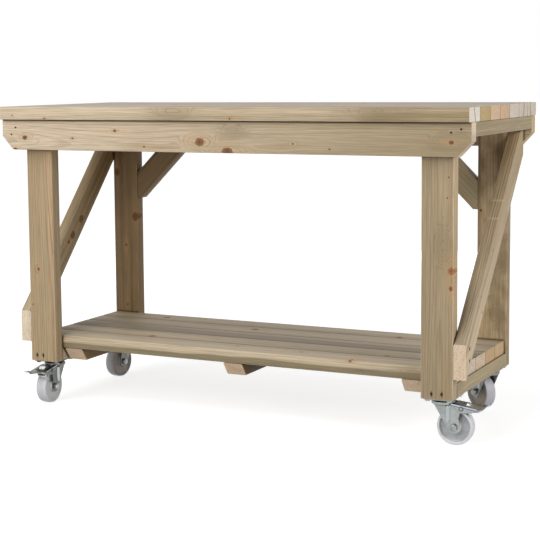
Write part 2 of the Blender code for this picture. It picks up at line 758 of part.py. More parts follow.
def build_pedal(name, hub):
    pivot = Vector((PIVOT_REACH, 0, PIVOT_HEIGHT))
    half_tread = PEDAL_OUTER + TREAD_OVERHANG
    pedal = plate_from_outline(name, pedal_tread_outline(), -half_tread, half_tread, ZINC, PARTS)
    pedal.location = pivot
    adopt(pedal, hub)
    half_lip = PEDAL_LIP_WIDTH / 2
    pieces = [("lip", pedal_lip_outline(), -half_lip, half_lip)]
    for side in (-1, 1):
        low, high = sorted((side * PEDAL_INNER, side * PEDAL_OUTER))
        pieces.append(("skirt", pedal_skirt_outline(), low, high))
    pieces.append(("pad", pad_outline(), -PAD_HALF_LENGTH, PAD_HALF_LENGTH))
    pieces.append(("tab", pedal_tab_outline(), -TAB_WIDTH / 2, TAB_WIDTH / 2))
    for label, outline, low, high in pieces:
        tool = plate_from_outline(f"{name}_{label}", outline, low, high, None, CUTTERS)
        tool.location = pivot
        adopt(tool, hub)
        combine(pedal, tool, "UNION")
    pin_length = 2 * PEDAL_OUTER + RIVET_HEAD_HEIGHT
    pin = prism(name + "_pin", PIVOT_RADIUS, pin_length, ROUND_STEPS, pivot, Y, None, CUTTERS)
    adopt(pin, hub)
    combine(pedal, pin, "UNION")
    for side in (-1, 1):
        place = pivot + Y * side * (PEDAL_OUTER + RIVET_HEAD_HEIGHT / 2 - PEDAL_SHEET / 4)
        height = RIVET_HEAD_HEIGHT + PEDAL_SHEET / 2
        head = prism(name + "_rivet", RIVET_HEAD_RADIUS, height, SMALL_STEPS, place, Y, None, CUTTERS)
        adopt(head, hub)
        combine(pedal, head, "UNION")


def new_hub(name, place, turn):
    hub = bpy.data.objects.new(name, None)
    PARTS.objects.link(hub)
    hub.location = place
    hub.rotation_euler = (0, 0, turn)
    return hub


def build_casters():
    for corner, side, end, trail, braked in CASTERS:
        place = (side * LEG_CENTRE_X, end * CASTER_Y, 0)
        prefix = f"caster_{corner}"
        fixed = new_hub(prefix + "_mount", place, 0)
        build_plate(prefix + "_plate", fixed)
        build_kingpin(prefix + "_kingpin", fixed)
        hub = new_hub(prefix + "_swivel", place, trail)
        build_fork(prefix + "_fork", braked, hub)
        build_wheel(prefix + "_wheel", hub)
        build_axle(prefix, hub)
        if braked:
            build_pedal(prefix + "_brake_pedal", hub)


build_boards("top_board", TOP_BOARDS, HALF_LENGTH - TOP_END_SETBACK, TOP_UNDERSIDE)
build_boards("shelf_board", SHELF_BOARDS, LEG_OUTER_X - SHELF_END_SETBACK, SHELF_UNDERSIDE)
build_aprons()
build_rails()
build_legs()
build_side_braces()
build_knee_braces()
build_bearers()
build_casters()
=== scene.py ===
"""Looks of the mobile workbench: softwood, zinc-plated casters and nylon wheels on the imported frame."""

import math

import bmesh
import bpy
from mathutils import Euler, Matrix, Vector


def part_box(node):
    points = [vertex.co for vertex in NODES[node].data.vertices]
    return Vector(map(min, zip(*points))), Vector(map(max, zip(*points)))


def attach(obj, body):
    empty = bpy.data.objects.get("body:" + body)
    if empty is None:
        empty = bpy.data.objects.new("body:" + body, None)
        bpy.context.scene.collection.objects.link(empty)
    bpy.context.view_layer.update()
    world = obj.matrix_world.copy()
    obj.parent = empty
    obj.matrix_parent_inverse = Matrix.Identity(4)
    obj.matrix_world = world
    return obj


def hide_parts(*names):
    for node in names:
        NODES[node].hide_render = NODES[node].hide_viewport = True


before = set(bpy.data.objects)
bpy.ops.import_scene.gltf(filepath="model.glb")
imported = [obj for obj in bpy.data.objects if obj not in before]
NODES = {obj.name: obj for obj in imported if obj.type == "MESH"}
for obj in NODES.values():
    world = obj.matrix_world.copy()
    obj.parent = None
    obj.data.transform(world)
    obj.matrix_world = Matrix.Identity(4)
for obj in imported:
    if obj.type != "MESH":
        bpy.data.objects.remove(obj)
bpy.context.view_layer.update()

# The photograph's camera: 540 x 540 pixels, with the focal length and the optical centre in pixels.
IMAGE_SIDE = 540
CAMERA_PLACE = (1.81509, -3.77612, 0.98559)
CAMERA_YAW = 0.47199
CAMERA_PITCH = -0.10501
CAMERA_ROLL = -0.01000
CAMERA_REACH = 100
FOCAL_PIXELS = 1417.85
OPTICAL_CENTRE = (232, 225)
SENSOR_WIDTH = 36.0

# Studio lamps: where each stands, what it points at, its size in metres and its power in watts.
LAMPS = {
    "key": ((-1.6, -2.5, 3.5), (0, -0.2, 0.5), 3.0, 90),
    "front": ((-0.5, -3.6, 1.6), (0, 0, 0.5), 1.6, 51),
    "overhead": ((0.0, 0.2, 3.6), (0, 0, 0.9), 2.0, 14),
    "side": ((3.2, -1.0, 1.3), (0, 0, 0.5), 1.6, 50),
    "rear": ((-1.2, 3.6, 0.7), (0, 0, 0.5), 1.2, 26),
}
AMBIENT_STRENGTH = 0.12
WHITE = (1, 1, 1, 1)

# The floor: how far it runs out, its shade, and how much it is lifted near the part and further away.
FLOOR_REACH = 30
FLOOR_SHADE = (0.50, 0.50, 0.50, 1)
FLOOR_LIFT = (0.78, 1.0)
FLOOR_LIFT_REACH = (1.0, 3.0)

# How steeply the braces run.
SIDE_BRACE_PITCH = math.radians(47.2)
KNEE_BRACE_PITCH = math.radians(45)

# Mesh edges: the sharpest turn that is shaded smooth, how near vertices join, and the rounding of steel.
SMOOTH_ANGLE = math.radians(40)
WELD_DISTANCE = 0.000002
STEEL_BEVEL = 0.0004
BEVEL_STEPS = 2
FILLET_STEPS = 5

# Casters: the way each fork trails, in degrees in plan, where the swivels stand and how wide a fork is.
SWIVELS = {"front_left": -87.5, "front_right": 3, "rear_left": -97, "rear_right": 144}
TRAIL = 0.035
SWIVEL_X = 0.6225
SWIVEL_Y = 0.2068
FORK_FACE = 0.0225

# A wheel's upper half as (radius, height, fillet) corners, out to the middle of its tread, and its dish.
WHEEL_PROFILE = (
    (0.0079, 0.0193, 0),
    (0.0165, 0.0193, 0.0012),
    (0.0185, 0.0085, 0.0040),
    (0.0385, 0.0085, 0.0050),
    (0.0428, 0.0159, 0.0010),
    (0.0484, 0.0159, 0.0022),
    (0.04975, 0.0085, 0.0040),
    (0.04985, 0.0, 0),
)
WHEEL_RADIUS = 0.050
WHEEL_STEPS = 96
DISH_RADII = (0.0160, 0.0430)
DISH_HEIGHT = 0.0135

# The bead on a fork's cheek: how far out its middle lies, its section, and its rounded foot and its top.
BEAD_REACH = 0.018
BEAD_WIDTH = 0.0135
BEAD_HEIGHT = 0.0042
BEAD_ROOT = 0.0004
BEAD_LOW = 0.0615
BEAD_START = 0.0002
BEAD_NOSE = 0.010
BEAD_TOP = 0.1085
BEAD_STEPS = 14

# The brake pedal's tread: how far out from the swivel it starts, how high, and how it falls from there.
PEDAL_ROOT_REACH = 0.036
PEDAL_ROOT_HEIGHT = 0.1145
PEDAL_FALL = 0.1458
PIVOT_ALONG = 0.019
PIVOT_HEIGHT = 0.103

# Marks on a pedal by their limits: what is measured, where the mark starts and where it is full. Rise is
# measured from the tread's face, and pivot is the distance from the pivot's axis.
# These marks are painted light and shade: highlights on the rolled edge, the tab and the cup, and shade in
# the crease, at the shoulder, round the rivet and on the shoe.
PEDAL_MARKS = {
    "rolled": (("aside", 0.0247, 0.0250), ("rise", -0.0049, -0.0041)),
    "crease": (("aside", 0.0247, 0.0250), ("rise", -0.0067, -0.0061), ("rise", -0.0041, -0.0049)),
    "shoulder": (("aside", 0.0211, 0.0221), ("rise", -0.0008, -0.0004), ("rise", 0.0004, 0.0002)),
    "rivet": (("aside", 0.0247, 0.0250), ("pivot", 0.0030, 0.0044), ("pivot", 0.0074, 0.0060)),
    "tab": (("rise", 0.0001, 0.0004), ("along", 0.047, 0.046), ("aside", 0.0100, 0.0090)),
    "cup": (("rise", -0.0026, -0.0032), ("aside", 0.0156, 0.0150)),
    "shoe": (("aside", 0.0128, 0.0123), ("height", 0.0880, 0.0885)),
}

# Zinc plating by kind of part: how dark the painted shade in its hollows is, and how much it looks like bare
# metal.
ZINC_KINDS = {"fork": "fork", "plate": "plate", "brake_pedal": "pedal"}
ZINC_HOLLOW_SHADES = {"fork": 0.40, "plate": 0.60, "pedal": 0.45, "fastener": 0.15}
ZINC_METAL = {"fork": 1.0, "plate": 1.0, "pedal": 1.0, "fastener": 0.55}
# How metallic the painted glints on the tab and the cup are.
GLINT_METAL = 0.35

# Sunk screws: (radius, height, fillet) corners of the hole and of the head, how deep the head sits, the
# torn fibres round the hole, and each head's centre by its face and the two coordinates along that face.
SCREW_HOLE = ((0.0001, 0.001, 0), (0.0038, 0.001, 0), (0.0036, -0.0032, 0), (0.0001, -0.0046, 0))
SCREW_HEAD = (
    (0.0001, -0.0012, 0),
    (0.0011, -0.0010, 0),
    (0.0014, 0.0, 0.0002),
    (0.0033, -0.0001, 0.0003),
    (0.0030, -0.0012, 0),
    (0.0001, -0.0016, 0),
)
SCREW_STEPS = 24
SCREW_DEPTH = 0.0026
SCREW_SIZES = {"apron_front": 0.75, "apron_rear": 0.75}
TEAR_RADIUS = 0.0034
TEAR_STRETCH = {"apron_front": 0.65, "apron_rear": 0.65}
USUAL_TEAR_STRETCH = 0.4
SCREWS = {
    "leg_front_left": {"-y": ((-0.6462, 0.1475), (-0.6239, 0.1472))},
    "leg_front_right": {"-y": ((0.6085, 0.1439), (0.6369, 0.1455))},
    "leg_rear_left": {"+y": ((-0.635, 0.147), (-0.609, 0.148))},
    "leg_rear_right": {"+y": ((0.6105, 0.1475), (0.6365, 0.1465))},
    "apron_front": {"-y": ((-0.6778, 0.8386), (-0.693, 0.8176), (0.671, 0.8354), (0.6979, 0.844))},
    "apron_rear": {"+y": ((-0.679, 0.839), (-0.696, 0.823), (0.673, 0.836), (0.696, 0.825))},
    "side_brace_left": {"-x": ((-0.2329, 0.267), (-0.2321, 0.2349))},
    "side_brace_right": {"+x": ((-0.2329, 0.267), (-0.2321, 0.2349))},
}

# Colours as sRGB, 0 to 255, first of the wood.
CREAM = (220, 202, 174)
TAN = (203, 184, 152)
OLIVE = (186, 168, 132)
DRAB = (164, 146, 114)
UMBER = (140, 120, 92)
PINK = (212, 184, 154)
ORANGE = (198, 160, 116)
PALE = (234, 222, 206)
PEACH = (228, 196, 164)
# Greys of the boards' upper faces: weathering in part, and in part painted shade and sheen of the top.
WEATHER_AND_SHADE_GREY = (182, 174, 160)
WEATHER_AND_SHADE_DARK = (160, 151, 136)
LATEWOOD = (140, 114, 82)
KNOT_LIGHT = (146, 100, 68)
KNOT_ORANGE = (182, 126, 80)
KNOT_RING = (122, 104, 70)
KNOT_AMBER = (134, 90, 46)
KNOT_DARK = (80, 50, 32)
SWIRL_TONE = (134, 118, 88)
RESIN = (186, 138, 88)
SPLIT_TONE = (112, 104, 66)
TEAR_TONE = (92, 66, 42)
# Painted shade for the wood's hollows and joints.
CREVICE_SHADE = (58, 40, 18)
# Painted shade along the gaps between boards.
JOINT_SHADE = (92, 78, 58)

# What a knot's pale collar multiplies the wood's linear colour by.
KNOT_COLLAR = (1.16, 1.08, 0.98, 1.0)


def by_corner(*values):
    """A value for each caster, in the order of SWIVELS."""
    return dict(zip(SWIVELS, values))


# Colours of the steel. Plating and bolts each have a bright tone and a dull one, painted lighter or darker at
# each caster for the light and shade on it. The bead's tone is a painted highlight.
ZINC_TONES = by_corner(
    ((120, 123, 120), (104, 106, 102)),
    ((160, 164, 162), (146, 150, 149)),
    ((118, 120, 116), (104, 105, 100)),
    ((132, 134, 131), (116, 118, 114)),
)
FASTENER_TONES = by_corner(
    ((196, 199, 198), (176, 179, 178)),
    ((160, 163, 162), (122, 125, 124)),
    ((196, 199, 198), (176, 179, 178)),
    ((176, 179, 178), (140, 142, 140)),
)
BEAD_HIGHLIGHTS = by_corner((192, 198, 197), (166, 173, 175), (132, 135, 132), (160, 164, 162))
ZINC_BLOOM = (112, 114, 112)
# Painted shade in the plating's hollows.
ZINC_CREVICE_SHADE = (66, 66, 62)
# Painted highlights on the pedal's rolled edge, tab and cup, and painted shade for its creases and shoe.
ROLLED_EDGE_HIGHLIGHTS = {"front_left": (176, 177, 164), "front_right": (180, 188, 206)}
TAB_GLINTS = {"front_left": (238, 241, 245), "front_right": (150, 152, 150)}
CUP_HIGHLIGHT = (238, 241, 245)
PEDAL_SHADE = (44, 42, 48)
SCREW_TONES = ((74, 62, 50), (50, 40, 32))

# Colours of the nylon: the tread, how much darker its clouds are, its scuffs, and the dish, which is dust in
# part and painted shade in part. The tread and dish tones are painted lighter or darker at each caster for
# the light on it.
TREAD_TONES = by_corner((218, 218, 222), (224, 224, 228), (212, 212, 214), (212, 211, 215))
CLOUD_STEP = 8
NYLON_SCUFF = (196, 194, 190)
DISH_DUST_AND_SHADE = by_corner((214, 214, 212), (168, 170, 171), (244, 236, 230), (208, 196, 180))

# Noise patterns: waves per metre along the timber and both ways across it, and how fine they are.
PATTERNS = {
    "ripple": (6, 90, 2),
    "long_fibre": (5, 300, 2),
    "short_fibre": (16, 640, 2),
    "blotch": (3, 14, 3),
    "knot_lumps": (150, 150, 3),
    "knot_drift": (18, 60, 3),
    "knot_sway": (6, 18, 1),
    "worn_edge": (14, 60, 2),
    "streak": (1, 70, 4),
    "shelf_streak": (1, 30, 4),
    "rear_leg_streak": (1, 45, 4),
    "mottle": (16, 24, 4),
    "band_edge": (2.6, 0, 2),
    "split": (90, 90, 2),
    "pores": (260, 260, 2),
    "weather": (0.8, 26, 3),
    "scuff_edge": (60, 240, 2),
    "zinc_bloom": (420, 420, 3),
    "zinc_cloud": (34, 34, 3),
    "nylon_cloud": (60, 60, 3),
    "nylon_scuff": (240, 240, 4),
    "screw_stain": (700, 700, 3),
}
STREAK_PATTERNS = {"shelf_board": "shelf_streak", "leg_rear": "rear_leg_streak"}

# Growth rings: waves per metre of the pith's wander and its reach, ripples away from knots and by them,
# and rings of several widths. Each timber is cut from another stretch of one long trunk.
PITH_WAVES = (1.1, 5.0, 5.0)
PITH_REACH = (0.0, 0.05, 0.05)
RIPPLE_HEIGHTS = (0.0014, 0.0003)
RING_WIDTH = 0.0030
RING_WIDTH_STEP = 0.0003
RING_WIDTHS = 5
RING_WAVES = 0.4
RING_UNEVEN = 1.6
TRUNK_STEP = 3.7

# Each timber: its colour at one end of the grain and at the other, its streaks, its end grain, and where the
# pith lies in its section (across, through).
WOOD = {
    "top_board_1": ((212, 193, 165), (153, 134, 99), TAN, (244, 234, 222), (0.03, -0.055)),
    "top_board_2": (TAN, TAN, OLIVE, (196, 170, 122), (-0.02, -0.03)),
    "top_board_3": (CREAM, CREAM, PINK, PEACH, (0.012, -0.04)),
    "top_board_4": (TAN, TAN, PINK, (224, 190, 158), (0.000, -0.024)),
    "top_board_5": (TAN, TAN, OLIVE, (234, 220, 206), (-0.034, -0.06)),
    "top_board_6": (CREAM, TAN, OLIVE, (236, 224, 212), (0.02, -0.03)),
    "top_board_7": (TAN, CREAM, TAN, PALE, (-0.01, -0.048)),
    "shelf_board_1": ((208, 190, 160), (208, 190, 160), DRAB, PALE, (0.025, -0.05)),
    "shelf_board_2": (TAN, DRAB, UMBER, (238, 220, 204), (0.01, -0.035)),
    "shelf_board_3": ((176, 158, 128), (186, 168, 138), (124, 106, 82), (237, 211, 186), (-0.025, -0.045)),
    # Shelf boards 4 and 5 are darker at their left ends: a painted shadow of the left leg and brace.
    "shelf_board_4": ((196, 178, 148), (216, 198, 168), (134, 114, 88), (222, 188, 142), (0.000, -0.03)),
    "shelf_board_5": ((198, 180, 150), (218, 200, 170), (134, 114, 88), (231, 193, 150), (0.03, -0.06)),
    "apron_front": ((214, 195, 168), DRAB, PINK, (238, 218, 194), (0.018, 0.06)),
    "apron_rear": (CREAM, TAN, PINK, (218, 198, 150), (-0.012, 0.045)),
    "top_rail_left": (OLIVE, OLIVE, DRAB, CREAM, (0.015, 0.045)),
    "top_rail_middle": (TAN, TAN, OLIVE, CREAM, (-0.022, 0.05)),
    "top_rail_right": ((154, 136, 104), (172, 154, 120), (188, 170, 138), CREAM, (0.000, 0.035)),
    "lower_rail_left": (TAN, TAN, OLIVE, PINK, (0.018, 0.04)),
    "lower_rail_right": (OLIVE, OLIVE, DRAB, PINK, (-0.016, 0.052)),
    "leg_front_left": ((178, 157, 124), (176, 155, 122), (200, 164, 122), CREAM, (0.062, 0.055)),
    "leg_front_right": ((164, 146, 115), (168, 150, 118), (184, 152, 116), CREAM, (0.012, 0.048)),
    # Painted darker, as painted shade under the top.
    "leg_rear_left": ((146, 119, 80), (142, 115, 77), (92, 70, 44), CREAM, (-0.018, 0.05)),
    "leg_rear_right": ((194, 171, 132), (198, 175, 136), (106, 84, 56), CREAM, (0.022, 0.06)),
    # Darker at its upper end, as painted shade under the top.
    "side_brace_left": ((198, 178, 144), (152, 127, 88), (104, 82, 54), (244, 226, 200), (0.01, 0.05)),
    "side_brace_right": ((222, 201, 168), (200, 177, 140), (140, 110, 76), (228, 204, 176), (-0.014, 0.045)),
    # Painted darker, as painted shade under the top.
    "knee_brace_left": ((138, 114, 78), (138, 114, 78), (108, 86, 58), CREAM, (0.012, 0.05)),
    "knee_brace_right": (OLIVE, OLIVE, DRAB, CREAM, (-0.012, 0.046)),
    "shelf_bearer_left": ((156, 126, 80), (156, 126, 80), (124, 98, 60), (240, 208, 178), (0.01, 0.04)),
    "shelf_bearer_middle": ((172, 130, 62), (172, 130, 62), (132, 96, 42), (240, 206, 174), (-0.008, 0.036)),
    "shelf_bearer_right": ((156, 126, 80), (156, 126, 80), (124, 98, 60), (244, 214, 184), (0.006, 0.044)),
}

# Knots by the face that each shows on: the two coordinates along that face, and the radius.
KNOTS = {
    "top_board_1": {"-y": ((-0.6786, 0.8746, 0.002), (-0.5644, 0.866, 0.0026), (0.0451, 0.8681, 0.0028))},
    "apron_front": {"-y": (
        (-0.6455, 0.8089, 0.0065), (-0.4774, 0.8081, 0.0026), (-0.3318, 0.8315, 0.004),
        (-0.2357, 0.7872, 0.003), (-0.0567, 0.8028, 0.0115), (0.03, 0.775, 0.014),
        (0.228, 0.801, 0.0022), (0.335, 0.788, 0.0022), (0.672, 0.8104, 0.0055),
        (-0.68, 0.774, 0.005),
    )},
    "apron_rear": {"+y": ((-0.41, 0.812, 0.0085), (0.29, 0.826, 0.006))},
    "leg_front_right": {"-y": (
        (0.6532, 0.7183, 0.0022), (0.6493, 0.6648, 0.002), (0.66, 0.4735, 0.0085),
        (0.66, 0.428, 0.0058),
    )},
    "leg_front_left": {"-y": ((-0.6343, 0.411, 0.005), (-0.6558, 0.3018, 0.002))},
    "leg_rear_left": {"-y": (
        (-0.6539, 0.6718, 0.01), (-0.587, 0.5258, 0.0115), (-0.6225, 0.4304, 0.0045),
        (-0.6212, 0.2314, 0.0035),
    )},
    "leg_rear_right": {"-y": ((0.5882, 0.5866, 0.004),)},
    "side_brace_right": {"+x": (
        (-0.1307, 0.3896, 0.0022), (-0.124, 0.3471, 0.0022), (-0.0274, 0.5023, 0.002),
    )},
    "side_brace_left": {"+x": (
        (0.026, 0.5345, 0.011), (-0.024, 0.488, 0.012), (-0.047, 0.468, 0.006),
        (-0.1066, 0.386, 0.005),
    )},
    "shelf_board_1": {
        "+z": ((-0.0131, -0.1661, 0.005), (0.1911, -0.1712, 0.005)),
        "-y": ((0.3617, 0.204, 0.0038),),
    },
    "shelf_board_2": {"+z": ((-0.3208, -0.1259, 0.01), (0.4317, -0.1256, 0.008))},
    "shelf_board_4": {"+z": ((-0.0868, 0.0978, 0.01),)},
    "shelf_board_5": {"+z": ((-0.4424, 0.1756, 0.01), (0.3659, 0.15, 0.008))},
    "top_board_2": {"+z": ((0.12, -0.19, 0.009),)},
    "top_board_4": {"+z": ((-0.31, 0.01, 0.01), (0.42, -0.02, 0.007))},
    "top_board_6": {"+z": ((-0.52, 0.17, 0.011), (0.23, 0.2, 0.007))},
}

# What a knot does to the timber round it, as outputs of its node group, and how much of another colour
# some of these bring to the wood.
KNOT_PARTS = ("Bend", "Halo", "Trail", "Rings", "Collar", "Body", "Dark")
KNOT_TINTS = (("Halo", 0.16, ORANGE), ("Trail", 0.4, RESIN), ("Rings", 0.4, KNOT_RING))

# The colour of knots, where it isn't KNOT_LIGHT.
KNOT_TONES = {
    "leg_front_right": KNOT_ORANGE,
    "leg_front_left": KNOT_ORANGE,
    "leg_rear_left": KNOT_AMBER,
    "side_brace_left": KNOT_AMBER,
    "shelf_board_1": (172, 132, 92),
    "shelf_board_2": (168, 128, 88),
    "shelf_board_4": (140, 110, 80),
    "shelf_board_5": (140, 110, 80),
}

# How a knot's distances shrink along the grain and along the knot itself, how wide its resin trail is,
# between which radii it is more than a dark pin, and how dark the heart of a large one is.
KNOT_STRETCH = 0.8
KNOT_DEPTH = 0.14
RESIN_WIDTH = 0.0026
PIN_KNOT_RADII = (0.0022, 0.0026)
LARGE_KNOT_RADIUS = 0.006
LARGE_KNOT_HEART = 0.75

# Places where the grain swirls round a knot that lies under the surface, given like the knots.
SWIRLS = {
    "top_board_1": {"-y": ((-0.132, 0.879, 0.014), (0.475, 0.88, 0.018))},
    "leg_front_right": {"-y": ((0.638, 0.542, 0.012),)},
    "leg_rear_right": {"-y": ((0.652, 0.46, 0.011), (0.63, 0.375, 0.01), (0.637, 0.289, 0.009))},
    "shelf_board_1": {"-y": ((0.543, 0.1746, 0.01),)},
    "lower_rail_right": {"+x": ((-0.215, 0.162, 0.008),)},
    "apron_front": {"-y": ((0.672, 0.8104, 0.012), (0.045, 0.8315, 0.009))},
}

# Where along the timber its colour changes, if not evenly over its whole length.
DRIFTS = {"top_board_1": ((-0.55, 0.05, 0.45), (0.36, 0.48, 1.0))}

# Bands of another colour: the axis across them, where they start, where they are full, how strong they
# are, and the colour.
BANDS = {
    "shelf_board_1": ("Z", 0.0, -0.004, 0.85, (132, 120, 92)),
    "shelf_board_3": ("Y", 0.02, 0.01, 0.8, (120, 106, 88)),
}

# How strongly the latewood lines and the streaks show, on most timbers and on these.
USUAL_GRAIN = (0.55, 0.5)
GRAIN = {
    "top_board_1": (0.5, 0.5),
    "shelf_board_1": (0.55, 0.7),
    "shelf_board_2": (0.55, 0.8),
    "shelf_board_3": (0.55, 0.8),
    "shelf_board_4": (0.55, 0.45),
    "shelf_board_5": (0.55, 0.45),
    "apron_front": (0.48, 0.28),
    "leg_front_left": (0.9, 0.7),
    "leg_front_right": (0.78, 0.5),
    "leg_rear_left": (0.9, 0.9),
    "leg_rear_right": (0.9, 0.9),
    "side_brace_left": (0.7, 0.7),
    "side_brace_right": (0.8, 0.6),
    "knee_brace_left": (0.55, 0.7),
}

# How pale the long edges are, on most timbers and on these: wear in part, and in part a painted highlight
# along the arrises.
USUAL_EDGE_WEAR_AND_HIGHLIGHT = 0.18
EDGE_WEAR_AND_HIGHLIGHT = {"leg_front_right": 0.38, "side_brace_right": 0.3}

# How much of the grey lies on the boards' upper faces, which is weathering in part and painted shade and
# sheen in part, and how much of the painted shade along the joints.
TOP_GREY_AND_SHADE = (0.75, 0.25)
SHELF_GREY_AND_SHADE = (0.3, 0.5)

# How far a face has to turn to a side to start to count as that side, and to count in full.
FACING = (0.8, 0.95)

# Painted light and shade on single faces: a darker outer face and a painted shadow on the sloped face of the
# right brace, a lit side on the front right leg, and shade on the middle bearer's side. For each: which way
# it faces, how much at the near end and at the far end, and where along the timber that changes.
PAINTED_FACE_LIGHT = {
    "side_brace_right": (
        ((1, 0, 0), (0.92, 0.92), (-0.3, 0.3)),
        ((0, -math.sin(SIDE_BRACE_PITCH), math.cos(SIDE_BRACE_PITCH)), (0.52, 1.15), (-0.33, -0.08)),
    ),
    "leg_front_right": (((1, 0, 0), (1.4, 1.4), (-0.3, 0.3)),),
    "shelf_bearer_middle": (((1, 0, 0), (0.36, 0.36), (-0.1, 0.1)),),
}

# Dark mottled patches: how strong they are, and their colour.
MOTTLES = {"leg_rear_right": (0.65, (122, 100, 68))}

# Pale marks that a planer left across a timber's upper edge, by how far along it they lie.
SCUFFS = {"side_brace_right": (0.13593, 0.07288)}

# Drying splits in the end grain: offset across the timber and slope.
SPLITS = {
    "top_board_1": (0.004, 0.35),
    "top_board_6": (0.01, -0.25),
    "top_board_7": (-0.014, 0.15),
}


def linear(colour):
    """An sRGB colour of 0 to 255 as the linear RGBA that shader sockets take."""
    channels = [channel / 255 for channel in colour]
    return tuple(c / 12.92 if c <= 0.04045 else ((c + 0.055) / 1.055) ** 2.4 for c in channels) + (1.0,)


class Graph:
    """Adds nodes to one node tree. An input is a plain value or another node's output socket."""

    def __init__(self, tree):
        self.tree = tree

    def feed(self, node, inputs):
        for key, value in dict(inputs).items():
            if isinstance(value, bpy.types.NodeSocket):
                self.tree.links.new(value, node.inputs[key])
            else:
                node.inputs[key].default_value = value

    def add(self, kind, inputs=(), **settings):
        node = self.tree.nodes.new(kind)
        for key, value in settings.items():
            setattr(node, key, value)
        self.feed(node, inputs)
        return node

    def math(self, operation, *values):
        return self.add("ShaderNodeMath", enumerate(values), operation=operation).outputs[0]

    def plus(self, first, second):
        return self.math("ADD", first, second)

    def minus(self, first, second):
        return self.math("SUBTRACT", first, second)

    def times(self, first, *others):
        for other in others:
            first = self.math("MULTIPLY", first, other)
        return first

    def most(self, first, *others):
        for other in others:
            first = self.math("MAXIMUM", first, other)
        return first

    def vector(self, operation, *values):
        node = self.add("ShaderNodeVectorMath", enumerate(values), operation=operation)
        return node.outputs["Value" if operation in ("LENGTH", "DOT_PRODUCT") else "Vector"]

    def split(self, vector):
        return self.add("ShaderNodeSeparateXYZ", {"Vector": vector}).outputs

    def noise(self, vector, pattern):
        along, across, detail = PATTERNS[pattern]
        place = self.vector("MULTIPLY", vector, (along, across, across))
        inputs = {"Vector": place, "Scale": 1.0, "Detail": detail}
        return self.add("ShaderNodeTexNoise", inputs).outputs["Fac"]

    def ease(self, value, low, high, bottom=0.0, top=1.0):
        """bottom up to low and top from high on, with a smooth step between them."""
        inputs = {"Value": value, "From Min": low, "From Max": high, "To Min": bottom, "To Max": top}
        return self.add("ShaderNodeMapRange", inputs, interpolation_type="SMOOTHSTEP").outputs[0]

    def mix(self, factor, first, second, blend="MIX"):
        node = self.add("ShaderNodeMix", data_type="RGBA", blend_type=blend)
        self.feed(node, {0: factor, 6: first, 7: second})
        return node.outputs[2]

    def tint(self, factor, colour, tone):
        """A colour with as much of an sRGB tone as the factor says."""
        return self.mix(factor, colour, linear(tone))

    def shade(self, factor, colour, value):
        """A colour multiplied by a value, as far as the factor says."""
        grey = self.add("ShaderNodeCombineColor", {0: value, 1: value, 2: value}).outputs[0]
        return self.mix(factor, colour, grey, "MULTIPLY")

    def openness(self, distance, samples=16):
        """1 where nothing is near a surface, and less in its hollows."""
        return self.add("ShaderNodeAmbientOcclusion", {"Distance": distance}, samples=samples).outputs["AO"]

    def bump(self, height, strength, distance):
        inputs = {"Height": height, "Strength": strength, "Distance": distance}
        return self.add("ShaderNodeBump", inputs).outputs[0]

    def seen(self):
        """1 for the rays that show a surface itself, and 0 for those that only carry its light."""
        rays = self.add("ShaderNodeLightPath").outputs
        return self.most(rays["Is Camera Ray"], rays["Is Glossy Ray"], rays["Is Transmission Ray"])


def new_group(name, inputs, outputs):
    """An empty shader group with those sockets, as (graph, its input sockets, its output node)."""
    tree = bpy.data.node_groups.new(name, "ShaderNodeTree")
    for direction, sockets in (("INPUT", inputs), ("OUTPUT", outputs)):
        for socket, kind in sockets.items():
            tree.interface.new_socket(socket, in_out=direction, socket_type="NodeSocket" + kind)
    graph = Graph(tree)
    return graph, graph.add("NodeGroupInput").outputs, graph.add("NodeGroupOutput")


def new_material(name):
    """A plain material, as (material, graph, its shader node)."""
    material = bpy.data.materials.new(name)
    material.use_nodes = True
    return material, Graph(material.node_tree), material.node_tree.nodes["Principled BSDF"]


def new_object(name, data):
    """An object of that data in the scene."""
    obj = bpy.data.objects.new(name, data)
    bpy.context.scene.collection.objects.link(obj)
    return obj


def mesh_object(name, mesh):
    """A finished mesh as an object in the scene."""
    data = bpy.data.meshes.new(name)
    mesh.to_mesh(data)
    mesh.free()
    return new_object(name, data)


def make_growth_group():
    """Growth rings round a wandering pith, with fibres and blotches along the grain (x)."""
    inputs = {"Place": "Vector", "Bend": "Float", "Calm": "Float", "Pith": "Vector", "Ring": "Float"}
    outputs = {"Late": "Float", "Fibre": "Float", "Blotch": "Float"}
    graph, given, result = new_group("softwood_growth", inputs, outputs)
    place = given["Place"]
    slow = graph.vector("MULTIPLY", place, PITH_WAVES)
    wander = graph.add("ShaderNodeTexNoise", {"Vector": slow, "Scale": 1.0, "Detail": 1.0}).outputs["Color"]
    wander = graph.vector("MULTIPLY", graph.vector("SUBTRACT", wander, (0.5, 0.5, 0.5)), PITH_REACH)
    flat = graph.vector("MULTIPLY", graph.vector("SUBTRACT", place, given["Pith"]), (0.0, 1.0, 1.0))
    radius = graph.vector("LENGTH", graph.vector("ADD", flat, wander))
    ripple = graph.times(graph.noise(place, "ripple"), graph.ease(given["Calm"], 0.0, 0.5, *RIPPLE_HEIGHTS))
    radius = graph.plus(graph.plus(radius, ripple), given["Bend"])
    count = graph.math("DIVIDE", radius, given["Ring"])
    inputs = {"W": count, "Scale": RING_WAVES}
    uneven = graph.add("ShaderNodeTexNoise", inputs, noise_dimensions="1D").outputs["Fac"]
    phase = graph.math("FRACT", graph.plus(count, graph.times(uneven, RING_UNEVEN)))
    late = graph.times(graph.ease(phase, 0.52, 0.93), graph.ease(phase, 1.0, 0.95))
    fibre = graph.plus(graph.noise(place, "long_fibre"), graph.noise(place, "short_fibre"))
    graph.feed(result, {
        "Late": graph.times(late, graph.ease(uneven, 0.35, 0.65, 0.35, 1.0)),
        "Fibre": graph.times(fibre, 0.5),
        "Blotch": graph.noise(place, "blotch"),
    })
    return graph.tree


